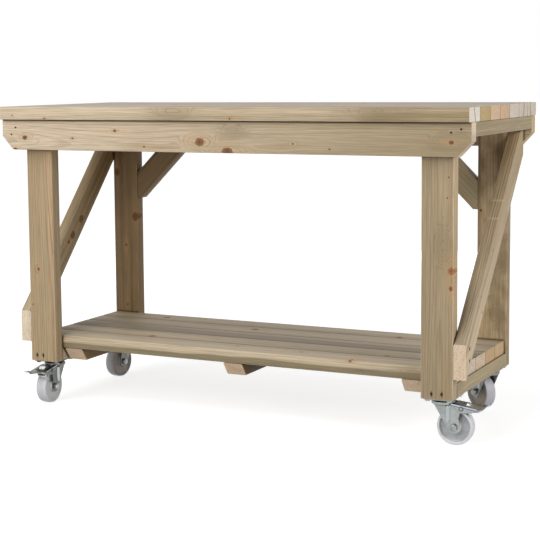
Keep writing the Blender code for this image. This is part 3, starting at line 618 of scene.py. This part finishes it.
def make_knot_group():
    """One knot: how far the growth rings bend round it, and where each of its parts shows."""
    inputs = {"Place": "Vector", "Centre": "Vector", "Stretch": "Vector", "Radius": "Float", "Heart": "Float"}
    graph, given, result = new_group("softwood_knot", inputs, dict.fromkeys(KNOT_PARTS, "Float"))
    place, radius = given["Place"], given["Radius"]
    gap = graph.vector("MULTIPLY", graph.vector("SUBTRACT", place, given["Centre"]), given["Stretch"])
    lumps = graph.minus(graph.noise(place, "knot_lumps"), 0.5)
    drift = graph.minus(graph.noise(place, "knot_drift"), 0.5)
    sway = graph.minus(graph.noise(place, "knot_sway"), 0.5)
    near = graph.plus(graph.math("DIVIDE", graph.vector("LENGTH", gap), radius), lumps)
    long_gap = graph.vector("LENGTH", graph.vector("MULTIPLY", gap, (0.5, 1.0, 1.0)))
    far = graph.math("DIVIDE", long_gap, radius)

    ringed = graph.plus(far, graph.times(lumps, 0.8))
    wave = graph.ease(graph.math("SINE", graph.times(ringed, 12.0)), 0.0, 0.9)
    fade = graph.times(graph.ease(ringed, 2.2, 1.1), graph.ease(drift, -0.12, 0.12))
    bend = graph.ease(graph.plus(far, graph.times(sway, 1.5)), 3.0, 0.6)
    trail = graph.vector("LENGTH", graph.vector("MULTIPLY", gap, (0.05, 1.0, 1.0)))
    trail = graph.plus(graph.math("DIVIDE", trail, RESIN_WIDTH), graph.times(drift, 3.0))
    collar = graph.times(graph.ease(near, 1.0, 1.12), graph.ease(near, 1.45, 1.22))
    rim = graph.times(graph.ease(near, 0.6, 0.92), graph.ease(lumps, -0.1, 0.15, 0.2, 0.8))
    core = graph.times(graph.ease(near, 0.9, 0.05), given["Heart"])
    body = graph.ease(near, 1.12, 0.88)
    grown = graph.ease(radius, *PIN_KNOT_RADII)
    pin = graph.times(body, graph.ease(grown, 1.0, 0.0, 0.0, 0.85))
    graph.feed(result, {
        "Bend": graph.times(graph.math("POWER", bend, 2.0), graph.times(radius, 1.7)),
        "Halo": graph.ease(graph.plus(far, graph.times(drift, 2.2)), 3.8, 0.6),
        "Trail": graph.times(graph.ease(trail, 1.5, 0.1), given["Heart"], grown),
        "Rings": graph.times(wave, fade),
        "Collar": graph.times(collar, graph.ease(lumps, -0.2, 0.2, 0.2, 1.0)),
        "Body": body,
        "Dark": graph.most(rim, core, pin),
    })
    return graph.tree


def timber_axes(name):
    """(centre, axes, half sizes) of a timber: x along the grain, y across its width, z through it."""
    low, high = (Vector(corner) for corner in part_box(name))
    span = high - low
    order = sorted(range(3), key=lambda axis: span[axis])
    through = Vector([float(axis == order[0]) for axis in range(3)])
    along = Vector([float(axis == order[2]) for axis in range(3)])
    if name.startswith("side_brace"):
        along = Vector((0, math.cos(SIDE_BRACE_PITCH), math.sin(SIDE_BRACE_PITCH)))
    if name.startswith("knee_brace"):
        side = -1 if name.endswith("left") else 1
        along = Vector((-side * math.cos(KNEE_BRACE_PITCH), 0, math.sin(KNEE_BRACE_PITCH)))
    axes = Matrix((along, through.cross(along), through)).transposed()
    points = [axes.transposed() @ vertex.co for vertex in NODES[name].data.vertices]
    lows = Vector([min(point[axis] for point in points) for axis in range(3)])
    highs = Vector([max(point[axis] for point in points) for axis in range(3)])
    return axes @ ((lows + highs) / 2), axes, (highs - lows) / 2


def outward(face):
    """The unit vector out of a face that is named by its side and axis, such as -y."""
    return Vector([float(letter == face[1]) for letter in "xyz"]) * (1 if face[0] == "+" else -1)


def face_point(timber, face, *along_face):
    """The point of a timber's face with those two other coordinates."""
    low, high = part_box(timber)
    axis = "xyz".index(face[1])
    point = list(along_face)
    point.insert(axis, (high if face[0] == "+" else low)[axis])
    return Vector(point)


def add_knots(graph, name, faces, place, shift, stretch=KNOT_STRETCH):
    """A chain of knots, as one socket for each of their parts, or plain zeros where there are none."""
    centre, axes, _ = timber_axes(name)
    to_local = axes.transposed()
    totals = dict.fromkeys(KNOT_PARTS, 0.0)
    for face, spots in faces.items():
        across = [KNOT_DEPTH if abs(part) > 0.5 else 1.0 for part in (to_local @ outward(face)).yz]
        for first, second, radius in spots:
            inputs = {
                "Place": place,
                "Centre": to_local @ (face_point(name, face, first, second) - centre) + shift,
                "Stretch": (stretch, *across),
                "Radius": radius,
                "Heart": LARGE_KNOT_HEART if radius > LARGE_KNOT_RADIUS else 1.0,
            }
            knot = graph.add("ShaderNodeGroup", inputs, node_tree=KNOT_GROUP)
            for key, total in totals.items():
                operation = "ADD" if key == "Bend" else "MAXIMUM"
                totals[key] = graph.math(operation, total, knot.outputs[key])
    return totals


def arris_mask(graph, local, place, half):
    """1 along a timber's four long edges, unevenly wide."""
    sides = graph.split(graph.vector("ABSOLUTE", local))
    from_edge = graph.most(graph.minus(half.y, sides["Y"]), graph.minus(half.z, sides["Z"]))
    return graph.ease(from_edge, graph.times(graph.noise(place, "worn_edge"), 0.006), 0.0005)


def face_colour(graph, name, growth, halo, local, place, half):
    """Long grain: sapwood that drifts along the timber, streaks, blotches, latewood lines, and pale edges
    that are wear in part and a painted highlight in part.
    """
    near_tone, far_tone, streak_tone = WOOD[name][:3]
    line_share, streak_share = GRAIN.get(name, USUAL_GRAIN)
    sides = graph.split(local)
    drift = 0.0
    for start, end, share in DRIFTS.get(name, ((-half.x, half.x, 1.0),)):
        drift = graph.most(drift, graph.ease(sides["X"], start, end, 0.0, share))
    colour = graph.tint(drift, linear(near_tone), far_tone)
    pattern = STREAK_PATTERNS.get(name.rpartition("_")[0], "streak")
    streaked = graph.ease(graph.noise(place, pattern), 0.46, 0.7, 0.0, streak_share)
    colour = graph.tint(streaked, colour, streak_tone)
    colour = graph.tint(graph.ease(growth["Blotch"], 0.48, 0.8, 0.0, 0.3), colour, DRAB)
    if name in MOTTLES:
        share, tone = MOTTLES[name]
        patches = graph.ease(graph.noise(place, "mottle"), 0.42, 0.68, 0.0, share)
        colour = graph.tint(patches, colour, tone)
    if name in BANDS:
        axis, start, full, share, tone = BANDS[name]
        wave = graph.times(graph.minus(graph.noise(place, "band_edge"), 0.5), 0.03)
        level = graph.plus(sides[axis], wave)
        colour = graph.tint(graph.ease(level, start, full, 0.0, share), colour, tone)
    lines = graph.plus(graph.times(halo, 0.1), line_share)
    colour = graph.tint(graph.times(growth["Late"], lines), colour, LATEWOOD)
    colour = graph.shade(1.0, colour, graph.ease(growth["Fibre"], 0.3, 0.7, 0.74, 1.1))
    # Pale edges: wear in part, and in part a painted highlight along the arrises.
    pale_edge = graph.times(arris_mask(graph, local, place, half), EDGE_WEAR_AND_HIGHLIGHT.get(name, USUAL_EDGE_WEAR_AND_HIGHLIGHT))
    return graph.tint(pale_edge, colour, PALE)


def end_colour(graph, name, growth, pores, local, place, half):
    """End grain: the timber's own tint with ring arcs, open pores, a drying split and grime at its edges."""
    colour = graph.tint(graph.ease(growth["Blotch"], 0.4, 0.7, 0.0, 0.35), linear(WOOD[name][3]), TAN)
    colour = graph.tint(graph.times(growth["Late"], 0.5), colour, LATEWOOD)
    colour = graph.tint(graph.ease(pores, 0.5, 0.7, 0.0, 0.5), colour, DRAB)
    colour = graph.tint(graph.times(arris_mask(graph, local, place, half), 0.4), colour, UMBER)
    if name in SPLITS:
        offset, slope = SPLITS[name]
        sides = graph.split(local)
        line = graph.plus(sides["Y"], graph.times(sides["Z"], slope))
        line = graph.plus(line, graph.times(graph.noise(place, "split"), 0.006))
        gap = graph.math("ABSOLUTE", graph.minus(line, offset))
        colour = graph.tint(graph.ease(gap, 0.0042, 0.0012, 0.0, 0.8), colour, SPLIT_TONE)
    return colour


def lying_colour(graph, name, colour, upward, local, place, half):
    """A board's upper face: grey that is weathering in part and painted shade and sheen in part, with painted
    shade along the joints to its neighbours.
    """
    grey_share, joint_shade_share = TOP_GREY_AND_SHADE if name.startswith("top") else SHELF_GREY_AND_SHADE
    lying = graph.ease(upward, *FACING)
    weathered = graph.ease(graph.noise(place, "weather"), 0.38, 0.62)
    grey = graph.tint(weathered, linear(WEATHER_AND_SHADE_GREY), WEATHER_AND_SHADE_DARK)
    colour = graph.mix(graph.times(lying, grey_share), colour, grey)
    across = graph.split(local)["Y"]
    if not name.endswith("_1"):
        across = graph.math("ABSOLUTE", across)
    # Painted shade along the joints to the neighbouring boards.
    joint = graph.ease(graph.minus(half.y, across), 0.008, 0.001, 0.0, joint_shade_share)
    return graph.tint(graph.times(lying, joint), colour, JOINT_SHADE)


def scuff_colour(graph, colour, along, local, place, half):
    """A pale planer mark across a timber's upper edge, that far along it."""
    sides = graph.split(local)
    ragged = graph.times(graph.noise(place, "scuff_edge"), 0.006)
    off = graph.plus(graph.math("ABSOLUTE", graph.minus(sides["X"], along)), ragged)
    at_edge = graph.ease(sides["Y"], half.y - 0.004, half.y - 0.002)
    return graph.tint(graph.times(graph.ease(off, 0.0085, 0.0045), at_edge, 0.28), colour, PALE)


def softwood(name, index):
    """A timber's own material: face grain, end grain, knots and pale edges from one solid pattern, with
    painted light and shade on some faces and painted shade in its hollows.
    """
    centre, axes, half = timber_axes(name)
    shift = Vector((TRUNK_STEP * index, 0.0, 0.0))
    material, graph, shader = new_material("softwood_" + name)
    coordinates = graph.add("ShaderNodeTexCoord").outputs
    normal = coordinates["Normal"]
    inputs = {"Vector": coordinates["Object"], "Location": centre, "Rotation": axes.to_euler()}
    local = graph.add("ShaderNodeMapping", inputs, vector_type="TEXTURE").outputs[0]
    place = graph.vector("ADD", local, tuple(shift))

    knots = add_knots(graph, name, KNOTS.get(name, {}), place, shift)
    swirls = add_knots(graph, name, SWIRLS.get(name, {}), place, shift)
    tear = TEAR_RADIUS * SCREW_SIZES.get(name, 1.0)
    screws = SCREWS.get(name, {}).items()
    holes = {face: [(*spot, tear) for spot in spots] for face, spots in screws}
    stretch = TEAR_STRETCH.get(name, USUAL_TEAR_STRETCH)
    tears = add_knots(graph, name, holes, place, shift, stretch)
    halo = graph.most(knots["Halo"], swirls["Halo"])
    inputs = {
        "Place": place,
        "Bend": graph.plus(knots["Bend"], swirls["Bend"]),
        "Calm": halo,
        "Pith": (0.0,) + WOOD[name][4],
        "Ring": RING_WIDTH + RING_WIDTH_STEP * (index % RING_WIDTHS),
    }
    growth = graph.add("ShaderNodeGroup", inputs, node_tree=GROWTH_GROUP).outputs

    colour = face_colour(graph, name, growth, halo, local, place, half)
    if "board" in name:
        colour = lying_colour(graph, name, colour, graph.split(normal)["Z"], local, place, half)
    for along in SCUFFS.get(name, ()):
        colour = scuff_colour(graph, colour, along, local, place, half)
    # Painted light and shade on single faces.
    for side, tones, reach in PAINTED_FACE_LIGHT.get(name, ()):
        turned = graph.ease(graph.vector("DOT_PRODUCT", normal, side), *FACING)
        colour = graph.shade(turned, colour, graph.ease(graph.split(local)["X"], *reach, *tones))
    pores = graph.noise(place, "pores")
    lengthways = graph.math("ABSOLUTE", graph.vector("DOT_PRODUCT", normal, tuple(axes.col[0])))
    at_end = graph.ease(lengthways, 0.55, 0.72)
    colour = graph.mix(at_end, colour, end_colour(graph, name, growth, pores, local, place, half))

    colour = graph.tint(graph.times(swirls["Halo"], 0.45), colour, SWIRL_TONE)
    for part, share, tone in KNOT_TINTS:
        colour = graph.tint(graph.times(knots[part], share), colour, tone)
    colour = graph.mix(graph.times(knots["Collar"], 0.8), colour, KNOT_COLLAR, "MULTIPLY")
    knot_tone = graph.tint(knots["Dark"], linear(KNOT_TONES.get(name, KNOT_LIGHT)), KNOT_DARK)
    colour = graph.mix(knots["Body"], colour, knot_tone)
    colour = graph.tint(graph.times(tears["Body"], 0.8), colour, TEAR_TONE)
    # Painted shade in hollows and joints: darker wherever other surfaces are near, as under the top's
    # overhang.
    colour = graph.tint(graph.ease(graph.openness(0.01, 8), 0.5, 0.9, 0.9, 0.0), colour, CREVICE_SHADE)

    raised = graph.plus(growth["Fibre"], graph.times(growth["Late"], 0.5))
    graph.feed(shader, {
        "Base Color": colour,
        "Roughness": graph.plus(graph.ease(growth["Fibre"], 0.3, 0.7, 0.52, 0.66), graph.times(at_end, 0.2)),
        "Specular IOR Level": 0.35,
        "Normal": graph.bump(graph.plus(raised, graph.times(pores, at_end)), 0.35, 0.0005),
    })
    return material


def swivel_place(corner):
    """Where a caster's swivel axis meets the floor."""
    side = 1 if "right" in corner else -1
    end = 1 if "rear" in corner else -1
    return Vector((SWIVEL_X * side, SWIVEL_Y * end, 0))


def swivel_axes(corner):
    """The way a caster trails, and along its axle."""
    trail = math.radians(SWIVELS[corner])
    return Vector((math.cos(trail), math.sin(trail), 0)), Vector((-math.sin(trail), math.cos(trail), 0))


def pedal_colour(graph, corner, colour, reach, aside, height):
    """A pedal's colour, with painted highlights on its rolled edge and tab, painted shade in its creases and
    round the rivet, and a shoe painted dark as shade in a cup painted bright; and where it glints.
    """
    along = graph.minus(reach, PEDAL_ROOT_REACH)
    rise = graph.minus(graph.plus(height, graph.times(along, PEDAL_FALL)), PEDAL_ROOT_HEIGHT)
    out_squared = graph.math("POWER", graph.minus(along, PIVOT_ALONG), 2.0)
    up_squared = graph.math("POWER", graph.minus(height, PIVOT_HEIGHT), 2.0)
    pivot = graph.math("SQRT", graph.plus(out_squared, up_squared))
    measures = {"along": along, "aside": aside, "height": height, "rise": rise, "pivot": pivot}
    marks = {
        name: graph.times(*[graph.ease(measures[measure], *span) for measure, *span in limits])
        for name, limits in PEDAL_MARKS.items()
    }
    # A painted highlight on the rolled edge; painted shade in the crease, at the shoulder and round the
    # rivet; a painted glint on the tab; and the shoe painted dark as shade in a cup painted bright.
    colour = graph.tint(graph.times(marks["rolled"], 0.8), colour, ROLLED_EDGE_HIGHLIGHTS[corner])
    dark = graph.most(marks["crease"], marks["shoulder"], marks["rivet"])
    colour = graph.tint(graph.times(dark, 0.75), colour, PEDAL_SHADE)
    colour = graph.tint(marks["tab"], colour, TAB_GLINTS[corner])
    cup = graph.tint(marks["shoe"], linear(CUP_HIGHLIGHT), PEDAL_SHADE)
    return graph.mix(marks["cup"], colour, cup), graph.most(marks["tab"], marks["cup"])


def make_zinc(corner, kind):
    """Zinc plating with a faint crystal bloom and painted shade in its hollows, for one kind of part of a
    caster. A fork gets a painted highlight on its bead, and a pedal its painted highlights and shade.
    """
    material, graph, shader = new_material("zinc_%s_%s" % (kind, corner))
    place = graph.add("ShaderNodeTexCoord").outputs["Object"]
    bloom = graph.noise(place, "zinc_bloom")
    cloud = graph.noise(place, "zinc_cloud")
    bright, dull = (FASTENER_TONES if kind == "fastener" else ZINC_TONES)[corner]
    colour = graph.tint(graph.ease(cloud, 0.35, 0.65), linear(bright), dull)
    colour = graph.tint(graph.ease(bloom, 0.5, 0.75, 0.0, 0.25), colour, ZINC_BLOOM)
    ahead, axle = swivel_axes(corner)
    from_swivel = graph.vector("SUBTRACT", place, tuple(swivel_place(corner)))
    aside = graph.math("ABSOLUTE", graph.vector("DOT_PRODUCT", from_swivel, tuple(axle)))
    height = graph.split(place)["Z"]
    metal = ZINC_METAL[kind]
    # A painted highlight on the bead.
    if kind == "fork":
        raised = graph.ease(aside, FORK_FACE + 0.0002, FORK_FACE + 0.001)
        low = graph.ease(height, BEAD_TOP, BEAD_TOP - 0.004, 0.0, 0.85)
        colour = graph.tint(graph.times(raised, low), colour, BEAD_HIGHLIGHTS[corner])
    # The pedal's painted highlights and shade, less metallic where it glints.
    if kind == "pedal":
        reach = graph.vector("DOT_PRODUCT", from_swivel, tuple(ahead))
        colour, glinting = pedal_colour(graph, corner, colour, reach, aside, height)
        metal = graph.ease(glinting, 0.0, 1.0, metal, GLINT_METAL)
    # Painted shade in the hollows.
    crevice = graph.ease(graph.openness(0.008), 0.35, 0.95, ZINC_HOLLOW_SHADES[kind], 0.0)
    graph.feed(shader, {
        "Base Color": graph.tint(crevice, colour, ZINC_CREVICE_SHADE),
        "Metallic": metal,
        "Roughness": graph.ease(bloom, 0.3, 0.7, 0.2, 0.3),
        "Normal": graph.bump(bloom, 0.08, 0.0002),
    })
    return material


def make_nylon(corner):
    """White moulded nylon, slightly cloudy, with a scuffed tread and a grey dished web that is dust in part
    and painted shade in part.
    """
    material, graph, shader = new_material("white_nylon_" + corner)
    place = graph.add("ShaderNodeTexCoord").outputs["Object"]
    cloud = graph.noise(place, "nylon_cloud")
    scuff = graph.noise(place, "nylon_scuff")
    tread = TREAD_TONES[corner]
    cloudy = tuple(channel - CLOUD_STEP for channel in tread)
    colour = graph.tint(graph.ease(cloud, 0.35, 0.7), linear(tread), cloudy)
    colour = graph.tint(graph.ease(scuff, 0.62, 0.82, 0.0, 0.2), colour, NYLON_SCUFF)
    hollow = graph.add("ShaderNodeAttribute", attribute_name="hollow").outputs["Fac"]
    # The dish: dust in part, and painted shade in part.
    dust_and_shade = graph.times(hollow, graph.ease(cloud, 0.3, 0.7, 0.75, 1.0))
    graph.feed(shader, {
        "Base Color": graph.tint(dust_and_shade, colour, DISH_DUST_AND_SHADE[corner]),
        "Roughness": graph.ease(scuff, 0.3, 0.7, 0.36, 0.52),
        "Subsurface Weight": 0.15,
        "Subsurface Radius": (0.004, 0.004, 0.004),
        "Normal": graph.bump(scuff, 0.15, 0.0003),
    })
    return material


def make_screw_steel():
    """Dark, dull screw steel with darker blotches."""
    material, graph, shader = new_material("screw_steel")
    stain = graph.noise(graph.add("ShaderNodeTexCoord").outputs["Object"], "screw_stain")
    plain, stained = SCREW_TONES
    graph.feed(shader, {
        "Base Color": graph.tint(graph.ease(stain, 0.35, 0.65), linear(plain), stained),
        "Roughness": graph.ease(stain, 0.3, 0.7, 0.4, 0.6),
        "Metallic": 0.8,
    })
    return material


def make_smooth_group():
    """Geometry nodes that shade a mesh smooth but for its sharp edges."""
    tree = bpy.data.node_groups.new("smooth_by_angle", "GeometryNodeTree")
    for direction in ("INPUT", "OUTPUT"):
        tree.interface.new_socket("Mesh", in_out=direction, socket_type="NodeSocketGeometry")
    graph = Graph(tree)
    given = graph.add("NodeGroupInput").outputs[0]
    angle = graph.add("GeometryNodeInputMeshEdgeAngle").outputs["Unsigned Angle"]
    inputs = {0: angle, 1: SMOOTH_ANGLE}
    sharp = graph.add("FunctionNodeCompare", inputs, operation="GREATER_THAN").outputs[0]
    inputs = {"Mesh": given, "Remove Custom": True, "Edge Sharpness": sharp, "Face Sharpness": False}
    shaded = graph.add("GeometryNodeSetMeshNormal", inputs, mode="SHARPNESS").outputs[0]
    graph.add("NodeGroupOutput", {0: shaded})
    return tree


def soften(obj, bevel=None):
    """Joins an imported mesh's faces, rounds its edges where asked and shades it smooth."""
    weld = obj.modifiers.new("weld", "WELD")
    weld.merge_threshold = WELD_DISTANCE
    if bevel:
        rounded = obj.modifiers.new("bevel", "BEVEL")
        rounded.width = bevel
        rounded.segments = BEVEL_STEPS
        rounded.limit_method = "ANGLE"
        rounded.angle_limit = SMOOTH_ANGLE
    smooth = obj.modifiers.new("smooth", "NODES")
    smooth.node_group = SMOOTH_GROUP


def paint(obj, material):
    obj.data.materials.clear()
    obj.data.materials.append(material)


def new_piece(name, mesh, body, material):
    """A finished mesh as a piece that rides on a body."""
    bmesh.ops.recalc_face_normals(mesh, faces=mesh.faces)
    obj = mesh_object(name, mesh)
    paint(obj, material)
    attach(obj, body)
    return obj


def rounded_profile(corners):
    """A profile of (radius, height, fillet) corners with each fillet turned into a short arc."""
    profile = []
    for index, (x, z, fillet) in enumerate(corners):
        corner = Vector((x, z))
        if not fillet:
            profile.append(corner)
            continue
        back = (Vector(corners[index - 1][:2]) - corner).normalized()
        ahead = (Vector(corners[index + 1][:2]) - corner).normalized()
        half_turn = back.angle(ahead) / 2
        reach = fillet / math.tan(half_turn)
        start, end = corner + back * reach, corner + ahead * reach
        for step in range(FILLET_STEPS + 1):
            share = step / FILLET_STEPS
            profile.append(start * (1 - share) ** 2 + corner * 2 * share * (1 - share) + end * share ** 2)
    return profile


def lathe(mesh, profile, steps, matrix):
    """Turns a closed (radius, height) profile round the local Z axis into a mesh."""
    rings = []
    for step in range(steps):
        turn = Matrix.Rotation(math.tau * step / steps, 4, "Z")
        ring = [mesh.verts.new(matrix @ turn @ Vector((point.x, 0, point.y))) for point in profile]
        rings.append(ring)
    for step, ring in enumerate(rings):
        after = rings[(step + 1) % steps]
        for index in range(len(profile)):
            below = (index + 1) % len(profile)
            face = mesh.faces.new((ring[index], after[index], after[below], ring[below]))
            face.smooth = True


def upright_at(point, axis):
    """The matrix that moves a shape to a point and turns its Z axis to that axis."""
    return Matrix.Translation(point) @ axis.to_track_quat("Z", "Y").to_matrix().to_4x4()


def build_wheels():
    """Nylon wheels with a crowned tread, rounded rim, dished web and hub, in place of the plain solids."""
    upper = rounded_profile(WHEEL_PROFILE)
    lower = [Vector((point.x, -point.y)) for point in reversed(upper[:-1])]
    for corner in SWIVELS:
        ahead, axle = swivel_axes(corner)
        centre = swivel_place(corner) + TRAIL * ahead
        centre.z = WHEEL_RADIUS
        matrix = upright_at(centre, axle)
        to_local = matrix.inverted()
        mesh = bmesh.new()
        lathe(mesh, upper + lower, WHEEL_STEPS, matrix)
        hollow = mesh.verts.layers.float.new("hollow")
        for vertex in mesh.verts:
            point = to_local @ vertex.co
            in_dish = DISH_RADII[0] < point.xy.length < DISH_RADII[1]
            vertex[hollow] = float(in_dish and abs(point.z) < DISH_HEIGHT)
        wheel = new_piece("wheel_" + corner, mesh, "wheel_" + corner, NYLON[corner])
        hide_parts("caster_" + corner + "_wheel")


def add_bead(mesh, corner, side):
    """A rounded bead down one cheek of a fork, closed all round."""
    ahead, axle = swivel_axes(corner)
    rows = []
    for step in range(BEAD_STEPS + 1):
        level = BEAD_LOW + BEAD_START + (BEAD_TOP - BEAD_LOW - BEAD_START) * step / BEAD_STEPS
        short = max(0.0, 1.0 - (level - BEAD_LOW) / BEAD_NOSE)
        full = math.sqrt(1.0 - short * short)
        row = []
        for turn in range(BEAD_STEPS + 1):
            angle = math.pi * turn / BEAD_STEPS
            reach = BEAD_REACH + math.cos(angle) * full * BEAD_WIDTH / 2
            out = FORK_FACE - BEAD_ROOT + math.sin(angle) * full * (BEAD_HEIGHT + BEAD_ROOT)
            point = swivel_place(corner) + ahead * reach + axle * side * out
            point.z = level
            row.append(mesh.verts.new(point))
        rows.append(row)
    for below, above in zip(rows, rows[1:]):
        for turn in range(BEAD_STEPS + 1):
            after = (turn + 1) % (BEAD_STEPS + 1)
            face = mesh.faces.new((below[turn], below[after], above[after], above[turn]))
            face.smooth = turn < BEAD_STEPS
    for row in (rows[0], rows[-1]):
        mesh.faces.new(row)


def build_beads():
    """A deep rounded bead down both cheeks of each fork, over the shallow one of the solid."""
    for corner in SWIVELS:
        mesh = bmesh.new()
        for side in (-1, 1):
            add_bead(mesh, corner, side)
        new_piece("beads_" + corner, mesh, "swivel_" + corner, ZINC[corner, "fork"])


def drill_holes(timber, mesh):
    """Cuts a mesh's shape out of a timber, after its weld and before its smoothing."""
    bmesh.ops.recalc_face_normals(mesh, faces=mesh.faces)
    cutter = mesh_object("screw_holes_" + timber, mesh)
    cutter.hide_render = True
    cutter.hide_viewport = True
    modifiers = NODES[timber].modifiers
    drill = modifiers.new("screw holes", "BOOLEAN")
    drill.object = cutter
    drill.operation = "DIFFERENCE"
    drill.solver = "EXACT"
    modifiers.move(len(modifiers) - 1, 1)


def build_screws():
    """Screw heads sunk below the timber's face, each in a countersunk hole."""
    hole = rounded_profile(SCREW_HOLE)
    head = rounded_profile(SCREW_HEAD)
    for timber, faces in SCREWS.items():
        size = Matrix.Scale(SCREW_SIZES.get(timber, 1.0), 4)
        holes, heads = bmesh.new(), bmesh.new()
        for face, spots in faces.items():
            for spot in spots:
                matrix = upright_at(face_point(timber, face, *spot), outward(face)) @ size
                lathe(holes, hole, SCREW_STEPS, matrix)
                lathe(heads, head, SCREW_STEPS, matrix @ Matrix.Translation((0, 0, -SCREW_DEPTH)))
        drill_holes(timber, holes)
        new_piece("screws_" + timber, heads, "bench", SCREW_STEEL)


def dress_nodes():
    """Gives each timber its own grain and the steel parts their plating."""
    for index, name in enumerate(WOOD):
        soften(NODES[name])
        paint(NODES[name], softwood(name, index))
    for corner in SWIVELS:
        for name in NODES:
            if name.startswith("caster_" + corner) and not name.endswith("_wheel"):
                soften(NODES[name], STEEL_BEVEL)
                kind = ZINC_KINDS.get(name.removeprefix("caster_" + corner + "_"), "fastener")
                paint(NODES[name], ZINC[corner, kind])


def build_floor():
    """A white floor that runs out of sight. It is lifted to white for the camera and keeps the shadow."""
    mesh = bmesh.new()
    bmesh.ops.create_grid(mesh, x_segments=1, y_segments=1, size=FLOOR_REACH)
    floor = mesh_object("floor", mesh)
    material, graph, shader = new_material("studio_floor")
    away = graph.vector("LENGTH", graph.add("ShaderNodeTexCoord").outputs["Object"])
    graph.feed(shader, {
        "Base Color": FLOOR_SHADE,
        "Roughness": 0.9,
        "Specular IOR Level": 0.0,
        "Emission Color": WHITE,
        "Emission Strength": graph.times(graph.seen(), graph.ease(away, *FLOOR_LIFT_REACH, *FLOOR_LIFT)),
    })
    paint(floor, material)


def build_light():
    """Soft studio light: a surround that looks white, and large lamps in front, above, beside and behind."""
    world = bpy.data.worlds.new("studio")
    bpy.context.scene.world = world
    world.use_nodes = True
    graph = Graph(world.node_tree)
    strength = graph.ease(graph.seen(), 0.0, 1.0, AMBIENT_STRENGTH, 1.0)
    graph.feed(world.node_tree.nodes["Background"], {"Color": WHITE, "Strength": strength})
    for name, (place, target, size, power) in LAMPS.items():
        lamp = bpy.data.lights.new(name, "AREA")
        lamp.size = size
        lamp.energy = power
        obj = new_object(name, lamp)
        obj.location = place
        obj.rotation_euler = (Vector(target) - Vector(place)).to_track_quat("-Z", "Y").to_euler()
        obj.visible_glossy = name != "rear"


def build_camera():
    """The photograph's camera."""
    data = bpy.data.cameras.new("photo_camera")
    data.sensor_width = SENSOR_WIDTH
    data.lens = FOCAL_PIXELS * SENSOR_WIDTH / IMAGE_SIDE
    data.shift_x = (IMAGE_SIDE / 2 - OPTICAL_CENTRE[0]) / IMAGE_SIDE
    data.shift_y = (OPTICAL_CENTRE[1] - IMAGE_SIDE / 2) / IMAGE_SIDE
    data.clip_end = CAMERA_REACH
    camera = new_object("photo_camera", data)
    camera.location = CAMERA_PLACE
    level = Euler((math.pi / 2 + CAMERA_PITCH, 0, CAMERA_YAW)).to_matrix()
    camera.rotation_euler = (level @ Matrix.Rotation(CAMERA_ROLL, 3, "Z")).to_euler()
    bpy.context.scene.camera = camera


GROWTH_GROUP = make_growth_group()
KNOT_GROUP = make_knot_group()
SMOOTH_GROUP = make_smooth_group()
ZINC = {
    (corner, kind): make_zinc(corner, kind)
    for corner in SWIVELS
    for kind in ZINC_HOLLOW_SHADES
    if kind != "pedal" or corner in TAB_GLINTS
}
NYLON = {corner: make_nylon(corner) for corner in SWIVELS}
SCREW_STEEL = make_screw_steel()

bpy.context.scene.view_settings.view_transform = "Standard"
build_camera()
build_light()
build_floor()
dress_nodes()
build_wheels()
build_beads()
build_screws()
